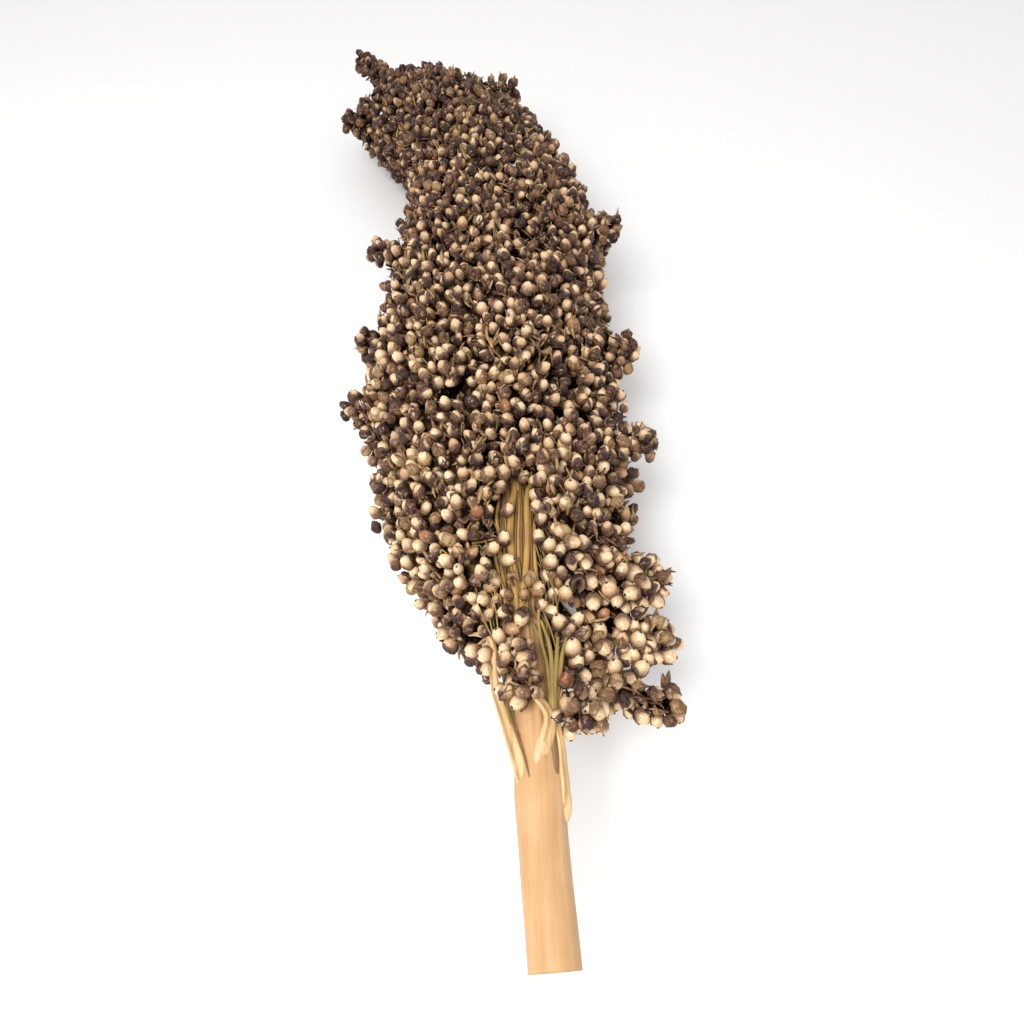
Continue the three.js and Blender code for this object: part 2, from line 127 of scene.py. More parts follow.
def grown_piece(name, parts, material, stands_for=()):
    """One mesh from parts of (points of each copy, triangles of one copy, {attribute: values}).
    The points are in the head's own millimetres, and the piece rides on the one body."""
    places, corners, values, start = [], [], {}, 0
    for points, triangles, attributes in parts:
        copies, each = points.shape[:2]
        places.append(points.reshape(-1, 3))
        corners.append((triangles + (start + np.arange(copies) * each)[:, None, None]).reshape(-1, 3))
        start += copies * each
        for key, value in attributes.items():
            values.setdefault(key, []).append(np.broadcast_to(value, (copies, each)).ravel())
    places = np.clip(np.concatenate(places) + HEAD_PLACE, CAD_LOW, CAD_HIGH) / 1000
    corners = np.concatenate(corners)
    mesh = bpy.data.meshes.new(name)
    mesh.vertices.add(len(places))
    mesh.vertices.foreach_set("co", places.ravel())
    mesh.loops.add(corners.size)
    mesh.loops.foreach_set("vertex_index", corners.ravel())
    mesh.polygons.add(len(corners))
    mesh.polygons.foreach_set("loop_start", np.arange(0, corners.size, 3))
    mesh.polygons.foreach_set("use_smooth", np.ones(len(corners), bool))
    for key, value in values.items():
        layer = mesh.attributes.new(key, "FLOAT", "POINT")
        layer.data.foreach_set("value", np.concatenate(value).astype(np.float32))
    mesh.update(calc_edges=True)
    mesh.validate()
    mesh.materials.append(material)
    piece = bpy.data.objects.new(name, mesh)
    bpy.context.scene.collection.objects.link(piece)
    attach(piece, "root")
    if stands_for:
        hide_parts(*stands_for)
    return piece


def colour(code):
    """Linear red, green and blue, with an alpha of 1, of an sRGB hex colour."""
    parts = [int(code[k : k + 2], 16) / 255 for k in (1, 3, 5)]
    return tuple(p / 12.92 if p <= 0.04045 else ((p + 0.055) / 1.055) ** 2.4 for p in parts) + (1.0,)


def add(tree, kind, inputs=None, settings=None, output=0):
    """Adds a node, sets its settings and ramp stops, gives each input a value or another node's output,
    and returns the node's own output, if it has any."""
    made = tree.nodes.new(kind)
    for name, value in (settings or {}).items():
        if name == "stops":
            stops = made.color_ramp.elements
            while len(stops) < len(value):
                stops.new(0.5)
            for stop, (position, code) in zip(stops, value):
                stop.position = position
                stop.color = colour(code)
        else:
            setattr(made, name, value)
    for name, value in (inputs or {}).items():
        if isinstance(value, bpy.types.NodeSocket):
            tree.links.new(value, made.inputs[name])
        else:
            made.inputs[name].default_value = value
    return made.outputs[output] if made.outputs else None


def new_material(name):
    """An empty node material, its tree, and the Object coordinates that its patterns read."""
    made = bpy.data.materials.new(name)
    made.use_nodes = True
    made.node_tree.nodes.clear()
    return made, made.node_tree, add(made.node_tree, "ShaderNodeTexCoord", output="Object")


def dried_straw(name, pale, deep, line, line_scale, rough):
    """Dry cane skin: two straw tones in long drawn-out streaks, fine darker lines, blotchy stains and painted shade in
    its furrows, with a dull waxy gloss. Its one attribute is that painted shade, 1 at the bottom of a furrow."""
    made, tree, place = new_material(name)
    drawn_out = add(tree, "ShaderNodeMapping", {"Vector": place, "Scale": (1.0, 0.045, 1.0)})
    streaks = add(tree, "ShaderNodeTexNoise", {"Vector": drawn_out, "Scale": line_scale * 0.35, "Detail": 3.0})
    blotch = add(tree, "ShaderNodeTexNoise", {"Vector": place, "Scale": 120.0, "Detail": 4.0})
    lines = add(tree, "ShaderNodeTexNoise", {"Vector": drawn_out, "Scale": line_scale, "Detail": 2.0})
    tone = add(tree, "ShaderNodeMix", {0: 0.35, 2: streaks, 3: blotch}, {"data_type": "FLOAT"})
    body = add(tree, "ShaderNodeValToRGB", {"Fac": tone}, {"stops": [(0.36, pale), (0.64, deep)]})
    thin = add(tree, "ShaderNodeMapRange", {"Value": lines, "From Min": 0.56, "From Max": 0.8, "To Max": 0.4})
    body = add(tree, "ShaderNodeMix", {0: thin, 6: body, 7: colour(line)}, {"data_type": "RGBA"}, 2)
    furrow = add(tree, "ShaderNodeAttribute", None, {"attribute_name": "furrow"}, "Fac")
    # Blotchy brown stains everywhere, and painted shade where the attribute says: darker in furrows, grooves and
    # seams.
    stain_and_shade = add(tree, "ShaderNodeMath", {0: blotch, 1: 0.8, 2: -0.4}, {"operation": "MULTIPLY_ADD"})
    stain_and_shade = add(tree, "ShaderNodeMath", {0: furrow, 1: stain_and_shade}, {"operation": "ADD"})
    stain_and_shade = add(tree, "ShaderNodeMapRange", {"Value": stain_and_shade, "From Min": 0.25, "From Max": 0.95, "To Max": 0.85})
    body = add(tree, "ShaderNodeMix", {0: stain_and_shade, 6: body, 7: colour("#6E4F33")}, {"data_type": "RGBA"}, 2)
    bump = add(tree, "ShaderNodeBump", {"Strength": 0.35, "Distance": 0.0003, "Height": lines})
    skin = {"Base Color": body, "Roughness": rough, "Normal": bump, "Specular IOR Level": 0.4}
    add(tree, "ShaderNodeOutputMaterial", {"Surface": add(tree, "ShaderNodeBsdfPrincipled", skin)})
    return made


# Dry cane: pale orange-tan skin, satin, with ribs about 1 mm apart drawn as faint lines.
stem_straw = dried_straw("dry_cane_skin", "#D1A779", "#BC8F5F", "#976B42", 900.0, 0.5)

STEM_KNOTS = [  # y, x, z, radius
    (-163, 8.6, 41.5, 5.5), (-155, 8, 41.4, 5.5), (-148, 7.4, 41.3, 5.5), (-142, 7, 41.15, 5.5),
    (-136, 6.6, 41, 5.6), (-130, 6.5, 40.8, 6), (-124, 6.4, 40.6, 5.9), (-118, 6.2, 40.7, 5.6),
    (-104, 4.9, 41.3, 5.3), (-90, 3.6, 41.8, 5), (-72, 2.3, 42, 4.6), (-55, 1.2, 42, 4.2),
    (-30, -1.6, 38.5, 3.7), (-10, -4, 35, 3.3), (20, -5, 32.5, 3), (50, -6, 30, 2.7),
    (105, -10, 29, 2.1), (150, -28, 27, 1.6), (180, -43, 24, 1.1),
]
STEM_ROWS = 200
STEM_AROUND = 72
RIB_DEPTH = 0.006  # of the radius, on the smooth cane below the scar
FURROW_DEPTH = 0.11  # of the radius, well above it
SCAR_AT = -132.0  # mm, the height on the head where the furrows begin
DEEPENED_OVER = 26.0  # mm from there to their full depth
TWIST_OVER = 70.0  # mm of stem for each radian that its ribs turn

knots = curve(STEM_KNOTS, STEM_ROWS)
stem_path = knots[:, [1, 0, 2]]
points, triangles = tubes(stem_path[None], knots[None, :, 3], STEM_AROUND, roll=(0, 0, 1))
turn = turns(STEM_AROUND)
above = np.clip((knots[:, :1] - SCAR_AT) / DEEPENED_OVER, 0, 1)
twist = knots[:, :1] / TWIST_OVER
valley = np.clip(np.cos(5 * turn + twist + 0.9), 0, 1) ** 3 + 0.7 * np.clip(np.cos(8 * turn - twist + 2.2), 0, 1) ** 4
ribs = RIB_DEPTH * (np.cos(23 * turn + twist) + np.cos(37 * turn + 2))
swell = 1 + ribs - FURROW_DEPTH * above * valley
ring = points[0, :-2].reshape(STEM_ROWS, STEM_AROUND, 3)
ring = stem_path[:, None] + (ring - stem_path[:, None]) * swell[..., None]
points[0, :-2] = ring.reshape(-1, 3)
# The furrows above the scar are painted darker, deepest at a furrow's bottom: painted shade.
furrow = np.append((above * valley * 0.6).ravel(), [0, 0])
grown_piece("stem", [(points, triangles, {"furrow": furrow})], stem_straw, ["stem_and_branches"])

# The scar and knobs where the lowest branches leave the stem: four raised pale lumps.
# Each is the stem's own tissue, a soft swelling grown into its skin and rounded off.

SCARS = [  # x, y, z, radius: the path of each lump
    [(5.2, -124.5, 45.6, 0.5), (6.2, -121.6, 45.7, 1.5), (7.4, -118.6, 45.9, 1.6), (8.6, -115, 46, 1)],
    [(7, -130.8, 44.8, 0.3), (8.2, -129.2, 44.9, 0.9), (8.9, -127.6, 44.6, 0.9), (9.2, -125.5, 44, 0.5)],
    [(2, -128.6, 43.6, 0.3), (2.6, -126.8, 43.8, 0.9), (2.2, -124.8, 43.9, 1.1), (1.6, -122, 43.8, 0.9)],
    [(10.8, -136.2, 42.4, 0.6), (11.3, -134.6, 42.6, 1.4), (11.7, -132, 42.9, 1.6), (11.6, -128.5, 43.2, 1.3)],
]


def branch(path, around, flat, furrow, roll=(0.31, 0.12, 0.94)):
    """A part for grown_piece: one tube along a path of x, y, z and radius, flattened across roll.
    Its painted shade, given after flat, is one value for all of it or one for each point of a ring."""
    points, triangles = tubes(path[None, :, :3], path[None, :, 3], around, flat, roll)
    if not np.isscalar(furrow):
        furrow = np.append(np.tile(furrow, len(path)), [0, 0])
    return points, triangles, {"furrow": furrow}


# Healed cane: the stem's skin grown over a wound, paler, duller and less even.
scar_straw = dried_straw("scarred_cane_skin", "#E6BE92", "#D2A278", "#A87450", 1100.0, 0.6)
grown_piece("branch_scars", [branch(curve(knots, 24), 20, 0.8, 0.0) for knots in SCARS], scar_straw)

# The lowest branches: flat straw strips that part from the stem at the scar and carry the low seeds.
# Six thin olive stalks lie among them, four of which fan out from one place on the rachis.
# Each is a tube flattened to a strip with a painted shade groove on each flat side, bent round the stem as it climbs.

STRAW_STRIPS = [  # x, y, z, radius
    [
        (3.4, -132, 42.4, 1.2), (2.5, -127.2, 43.7, 1.7), (1.4, -122.3, 44.1, 1.9), (-0.4, -117, 43.8, 1.7),
        (-2.4, -111.5, 43.6, 1.3), (-3.8, -107, 43.7, 1.2), (-4.5, -102, 44.2, 1.1), (-4.7, -97.5, 44.9, 0.95),
        (-5.9, -94.2, 45.2, 0.8), (-8.4, -92.8, 44.2, 0.55), (-11, -92, 42, 0.4),
    ],
    [
        (5.6, -127, 44.2, 1.2), (6.6, -122.4, 45.3, 1.8), (8, -118, 46.4, 1.8), (8.6, -115.2, 46.8, 1.6),
        (8.2, -112.9, 47.4, 1.35), (6.5, -110.6, 48.1, 1.15), (4.2, -108.5, 48.7, 0.95), (1.2, -106.8, 49, 0.7),
        (-1.6, -106.6, 48.6, 0.4),
    ],
    [
        (10.6, -137.6, 41.4, 1), (11.6, -132.6, 43.3, 1.4), (11.8, -128.4, 44, 1.25), (11.5, -124.1, 44.2, 1.15),
        (11.2, -119.8, 44.4, 1.1), (10.6, -116.3, 45, 1), (10.3, -112.5, 45.8, 0.9), (11.2, -108, 46.4, 0.7),
        (13.6, -103.5, 46, 0.5),
    ],
]
STRIP_LEANS = (-0.5, 0.3, 0.5)  # how far each strip's flat side leans round the stem
# The dark seams beside the strips are thin dark lines of painted shade.
SHADE_LINES = [  # the dark seams beside the strips
    [
        (-1.2, -110, 44.9, 0.15), (-0.3, -113.6, 45.2, 0.3), (1.1, -117.8, 45.5, 0.32), (2.7, -122.4, 45.9, 0.3),
        (3.8, -126.8, 46.2, 0.15),
    ],
    [
        (8.8, -112, 45.6, 0.4), (9.4, -117.4, 45.5, 0.8), (9.6, -121.4, 45.4, 0.9), (9.7, -125.3, 45.2, 0.8),
        (9.9, -129, 44.6, 0.5), (10.1, -131.5, 43.6, 0.3),
    ],
    [(-2.6, -106.6, 43.6, 0.3), (-1.9, -110, 43.7, 0.5), (-1.1, -113.4, 43.9, 0.3)],
]
OLIVE_STALKS = [
    [
        (9.5, -113.5, 46.2, 0.7), (9, -110.1, 46.9, 0.65), (8.7, -105.5, 47.4, 0.6), (7.9, -99.5, 47.7, 0.55),
        (5.9, -93, 47.4, 0.5), (3.7, -89.6, 46.6, 0.35),
    ],
    [
        (9.6, -112.9, 46.4, 0.7), (9.5, -107.9, 47.3, 0.65), (9.4, -102.1, 48, 0.6), (8.9, -96.8, 48.3, 0.5),
        (7.1, -90.6, 47.8, 0.35),
    ],
    [(9.9, -112.4, 46.4, 0.7), (10.3, -105.6, 47.5, 0.65), (10.7, -99.7, 48.1, 0.6), (11.1, -94.9, 47.9, 0.4)],
    [(10.1, -112.3, 46, 0.65), (11.1, -105.4, 47.1, 0.6), (12, -99.5, 47.7, 0.55), (13.3, -94.6, 47.2, 0.35)],
    [
        (2.2, -124.5, 44, 0.6), (0.8, -120.2, 44, 0.9), (0.1, -116.8, 44, 1), (-0.3, -112.8, 44, 1),
        (-0.8, -108.8, 44.2, 0.9), (-1.6, -103, 44.4, 0.6),
    ],
    [(8.6, -103, 47.9, 0.35), (6.9, -95, 48.3, 0.4), (6.6, -88, 47.8, 0.4), (8.4, -80, 47.2, 0.3)],
]
# How dark the seam lines and the strips' grooves are painted: painted shade, beyond a furrow's full depth.
SEAM_SHADE = 1.3


def groove(around, start, sharpness, darkening):
    """The painted shade round a ring, dark in a groove on each flat side: the last argument times the cosine of twice
    the turn, from start, to the power of sharpness, and 0 where the cosine is negative."""
    return np.clip(np.cos(turns(around) * 2 + start), 0, 1) ** sharpness * darkening


# Dry branch straw: golden, with a satin skin and brown streaks. The stalks are greener and dull olive.
branch_straw = dried_straw("dry_branch_straw", "#E6C28C", "#C8A06A", "#76562F", 1500.0, 0.5)
green_straw = dried_straw("olive_stalk_straw", "#A88E50", "#7A6434", "#3E3019", 1700.0, 0.5)
parts = [
    branch(curve(knots, 90), 16, 0.55, groove(16, -2.6, 4, 0.9), (lean, 0.1, 0.86))
    for lean, knots in zip(STRIP_LEANS, STRAW_STRIPS)
]
parts += [branch(curve(knots, 40), 8, 0.6, SEAM_SHADE) for knots in SHADE_LINES]
grown_piece("low_branches", parts, branch_straw)
parts = [branch(curve(knots, 60), 12, 0.75, groove(12, 0.8, 2, 0.8)) for knots in OLIVE_STALKS]
grown_piece("branch_bundle", parts, green_straw)

# The bare channel: long branches lie side by side on the rachis, where the lowest sprays part.
# They are golden straw, 1 to 2 mm wide, with thin olive fibres between them and dark lines of painted shade in the
# seams.

CHANNEL_STRIPS = [  # x, y, z, radius
    [
        (2.6, -90, 46.4, 0.8), (1.9, -85.6, 47, 1.1), (0.5, -78, 47.4, 1.2), (-0.3, -69.3, 47.6, 1.15),
        (0, -60, 47.4, 1.05), (0.6, -51.4, 46.6, 0.85), (0.8, -44, 44.4, 0.6),
    ],
    [
        (3, -90.6, 46.6, 0.6), (2.8, -86.6, 47.2, 0.8), (3.3, -79.7, 47.9, 0.85), (3.8, -69.7, 48.1, 0.85),
        (3.8, -58.8, 47.9, 0.8), (4.4, -53, 47.7, 0.7), (5.8, -48.3, 46.8, 0.55), (7.4, -42, 44.6, 0.4),
    ],
    [
        (-0.6, -88, 45.4, 0.4), (-1.8, -84.3, 46, 0.55), (-2.8, -74.9, 46.9, 0.6), (-3.4, -67.7, 47.2, 0.6),
        (-4, -59.9, 47, 0.5), (-3.6, -52.7, 45.8, 0.4),
    ],
    [
        (6.4, -88, 45.6, 0.4), (7, -84.3, 46.1, 0.5), (5.9, -76.3, 46.9, 0.55), (5.8, -67.8, 47.4, 0.55),
        (6.7, -59.2, 47.4, 0.5), (8.3, -51.4, 46.4, 0.35),
    ],
    [
        (4.3, -89, 46.2, 0.35), (4.5, -84.6, 46.7, 0.45), (4.9, -78, 47.3, 0.5), (5, -67.9, 47.6, 0.45),
        (5.5, -59.2, 47.5, 0.45), (6.6, -52.7, 46.5, 0.3),
    ],
    [
        (1.6, -92, 46.2, 0.6), (1.3, -84.5, 46.4, 0.85), (1.8, -74.9, 46.9, 0.9), (2.1, -64.7, 47.2, 0.85),
        (1.9, -54.9, 46.9, 0.7), (2.2, -47, 45.6, 0.5),
    ],
    [  # the slender one that shows higher up, between the top sprays
        (-4.6, -14, 52, 0.3), (-6.1, -6.7, 55, 0.5), (-7.4, -1, 56, 0.5), (-8.1, 4.5, 56.2, 0.45),
        (-8.9, 10.6, 54.8, 0.3),
    ],
]
# Thin dark lines of painted shade in the seams between the strips.
CHANNEL_SHADE_LINES = [
    [
        (2.2, -86, 46.9, 0.1), (1.2, -78, 47.9, 0.3), (0.9, -69, 48.15, 0.36), (1.2, -60, 47.95, 0.34),
        (1.7, -52, 47.1, 0.2),
    ],
    [(4.9, -80, 48, 0.15), (5.1, -70, 48.25, 0.36), (5, -59, 48.2, 0.34), (6.2, -52, 47.4, 0.15)],
    [(-1.6, -79, 47.2, 0.15), (-2, -69, 47.7, 0.42), (-2.4, -60, 47.5, 0.38), (-2, -52, 46.6, 0.15)],
]
WAVER = 0.22  # mm, how far a strip wavers from side to side
FIBRES = 64

# Old branch straw: deep gold with a satin skin and near-black streaks.
channel_straw = dried_straw("golden_branch_straw", "#CDA35C", "#85632F", "#3E2A15", 1300.0, 0.5)
draws = np.random.default_rng(71)
parts = [branch(curve(knots, 40), 8, 0.6, SEAM_SHADE) for knots in CHANNEL_SHADE_LINES]
# Each strip wavers, and has a groove of painted shade on each flat side.
for knots in CHANNEL_STRIPS:
    path = curve(knots, 80)
    path[:, :3] += WAVER * np.sin(np.linspace(0, draws.uniform(9, 22), 80)[:, None] + draws.uniform(0, 6, 3))
    parts.append(branch(path, 12, 0.6, groove(12, draws.uniform(0, 6), 3, SEAM_SHADE)))
grown_piece("channel_branches", parts, channel_straw)

start = np.stack(
    [draws.uniform(-4, 12, FIBRES), draws.uniform(-102, -70, FIBRES), draws.uniform(44.4, 47.6, FIBRES)], 1
)
reach = draws.uniform(10, 26, FIBRES)
steps = np.linspace(0, 1, 14)
drift = draws.normal(0, 1.6, FIBRES)
sway = draws.uniform(0, 6, (FIBRES, 2))
paths = np.stack(
    [
        start[:, :1] + drift[:, None] * steps + 0.5 * np.sin(5 * steps + sway[:, :1]) - 3 * steps,
        start[:, 1:2] + reach[:, None] * steps,
        start[:, 2:] + 0.9 * np.sin(4 * steps + sway[:, 1:]) * np.sin(np.pi * steps) + 0.6,
    ],
    -1,
)
points, triangles = tubes(paths, 0.28 * np.sin(np.pi * (0.12 + 0.8 * steps))[None], 5)
# The fibres are painted a little darker, as shade among the strips.
grown_piece("channel_fibres", [(points, triangles, {"furrow": 0.35})], green_straw)

# The inside of the head: the crowd of short dry branches that the seeds hang from, painted near black as shade.
# Each body is a spray's own solid, drawn in by up to 6 mm, and by less where the spray is thin.
# Two dark tubes, one round the rachis and one under it, stand for the branches in the middle, their darkness painted
# shade.

shaded_litter, tree, place = new_material("shaded_branch_litter")
litter = add(tree, "ShaderNodeTexNoise", {"Vector": place, "Scale": 420.0, "Detail": 5.0})
# The brown of dry branches and husks, with near-black painted shade.
stops = [(0.4, "#20140D"), (0.55, "#3E2A1B"), (0.66, "#6C4F30")]
dark = add(tree, "ShaderNodeValToRGB", {"Fac": litter}, {"stops": stops})
husks = add(tree, "ShaderNodeTexVoronoi", {"Vector": place, "Scale": 260.0}, output="Distance")
husks = add(tree, "ShaderNodeMath", {0: husks, 1: -1.5, 2: litter}, {"operation": "MULTIPLY_ADD"})
crumble = add(tree, "ShaderNodeBump", {"Strength": 1.0, "Distance": 0.002, "Height": husks})
skin = {"Base Color": dark, "Roughness": 0.9, "Normal": crumble, "Specular IOR Level": 0.05}
add(tree, "ShaderNodeOutputMaterial", {"Surface": add(tree, "ShaderNodeBsdfPrincipled", skin)})

SPRAYS = sorted(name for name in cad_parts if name.startswith("spray"))
GROUPS = {key: [name for name in SPRAYS if key in name] for key in ("whorl1", "whorl2", "whorl3", "whorl4", "whorl5")}
GROUPS["whorl5"].insert(0, "spray_tip")
GROUPS["base"] = [name for name in SPRAYS if "base" in name]
CORES = [  # x, y, z, radius: the branches crowded round the rachis, and those under it
    [
        (-1, -62, 37.5, 3), (-2, -48, 36.5, 9), (-3, -30, 35, 13), (-4.5, 0, 33, 16), (-5.5, 40, 31, 16),
        (-8, 80, 30, 14), (-12, 110, 29, 12), (-24, 140, 27, 9), (-36, 165, 25, 6), (-41, 176, 24, 2),
    ],
    [
        (-1, -56, 24, 3), (-2, -40, 21, 9), (-4, -15, 18, 14), (-5, 20, 16, 17), (-7, 60, 15.5, 17),
        (-10, 95, 15, 15), (-18, 125, 15, 12), (-30, 150, 14, 8), (-37, 165, 13, 3),
    ],
]
DRAWN_IN = 6.0  # mm
THIN_SHARE = 0.36  # of a spray's local thickness, the most that it is drawn in
EVENED_OVER = 6.0  # mm


def facets(node):
    """The corners of a CAD node's triangles in head millimetres: triangle, corner, x y z."""
    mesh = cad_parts[node].data
    mesh.calc_loop_triangles()
    places = np.empty(len(mesh.vertices) * 3, np.float32)
    mesh.vertices.foreach_get("co", places)
    corners = np.empty(len(mesh.loop_triangles) * 3, np.int32)
    mesh.loop_triangles.foreach_get("vertices", corners)
    return places.reshape(-1, 3)[corners].reshape(-1, 3, 3) * 1000 - HEAD_PLACE


def facet_normals(corners):
    """Half the cross product of two edges of each triangle: its normal, as long as its area."""
    return np.cross(corners[:, 1] - corners[:, 0], corners[:, 2] - corners[:, 0]) / 2


def point_tree(places):
    """A balanced tree of points, for finding those near a place."""
    tree = KDTree(len(places))
    for k, place in enumerate(places):
        tree.insert(place, k)
    tree.balance()
    return tree


def within(tree, place, reach):
    """The numbers of the tree's points within reach of a place."""
    return [found[1] for found in tree.find_range(place, reach)]


def drawn_in(corners, most, thin_share):
    """The triangles with shared points, each moved against the mean normal of the triangles round it.
    The move is the lesser of most and thin_share of the distance through the body, evened over near points."""
    flat = corners.reshape(-1, 3)
    _, first, index = np.unique(np.round(flat, 2), axis=0, return_index=True, return_inverse=True)
    places = flat[first]
    index = index.reshape(-1, 3)
    normals = np.zeros_like(places)
    np.add.at(normals, index.ravel(), np.repeat(facet_normals(corners), 3, 0))
    normals /= np.maximum(np.linalg.norm(normals, axis=1, keepdims=True), 1e-9)
    body = BVHTree.FromPolygons(places.tolist(), index.tolist())
    through = [body.ray_cast(place - 0.05 * n, -n)[3] for place, n in zip(places, normals)]
    depth = np.array([min(most, thin_share * (t or 0.5)) for t in through])
    near = point_tree(places)
    even = np.array([depth[within(near, place, EVENED_OVER)].mean() for place in places])
    return places - even[:, None] * normals, index


parts = [(*branch(curve(core, 50), 20, 0.8, 0.0)[:2], {}) for core in CORES]
grown_piece("inside_core", parts, shaded_litter)
for group, nodes in GROUPS.items():
    bodies = [drawn_in(facets(name), DRAWN_IN, THIN_SHARE) for name in nodes]
    parts = [(places[None], index, {}) for places, index in bodies]
    grown_piece("inside_" + group, parts, shaded_litter, nodes)

# The seeds: round grains 4 mm across, cream to tan, each held in two dark pointed husks.
# They crowd the outside of every spray about 4 mm apart, and a second layer shows between them.
# The grain's free end points outwards and up the head, and has a small dark scar.

SEED_APART = 3.9  # mm, between the outer grains
DEEP_APART = 3.4
CLEAR_OF_OUTER = 2.8
CLEAR_OF_LOW = 3.7
SEED_SIZE = 1.86  # mm, half across
OUTER_DEPTH = 1.2
DEEP_DEPTH = 3.4
SMOOTHED_OVER = 7.5  # mm: a seed's way out is the mean of the facets' within this
LEAST_FACING = 0.25  # a cosine: facets count above minus this, and rays above it
RAYS = 40
FREE_FOR = 70.0  # mm
OPEN_SHARE = 0.3  # of the rays from a facet that must run free for seeds to grow there
CANDIDATES = 80000
CROWDED = np.array([  # x, y, z: where neighbouring sprays' seeds close a gap between them
    (38, -32.2, 31), (32.6, 93, 33), (-48.5, 58.8, 29), (35, 4, 33), (3.6, 183, 27), (-42.6, -31, 29),
    (0.4, 120.7, 36), (34.6, 70.6, 33), (-31.6, -65.5, 29), (-48, -12.8, 27), (-24.6, -78, 31), (-51, 19.6, 27),
    (-56.2, 167, 29), (-20, 86, 46), (0, 88, 50), (-14, 40, 50), (12, 40, 50), (24, 88, 42), (-30, 84, 40),
    (10, 120, 36), (-49.5, 1.6, 27), (-32, -67, 32), (36.6, -42.6, 32), (-20, 10, 50), (-24, -24, 49), (14, -62, 44),
    (-55.2, 168.2, 26), (3, 123.6, 33), (19.3, 48.3, 39), (19.2, 8, 41), (-25.6, -11.7, 43), (9.2, -48.7, 47),
    (31.4, 90, 30), (37, -36, 30), (-45, 46, 29), (34, 1, 30), (-44, 14, 20), (-45, 14, 29), (-36, -52, 33),
    (20, 119, 22), (22, 117, 30), (37, -13, 33), (34, 48, 34), (-40, 15, 37), (-16, -12, 50), (-15.6, -17, 46),
    (10, -17, 49), (12, -15, 45), (-24.3, -22, 46), (19, -4, 45), (-32.7, -16.7, 42), (30, 30, 40),
])
MEETING = 300  # of the candidates where the top sprays meet
AT_EACH = 40  # of them at each crowded place
CROWD_SPREAD = 4.5  # mm
HELD_WITHIN = 3.4  # mm: one further than this from a spray goes back to its surface

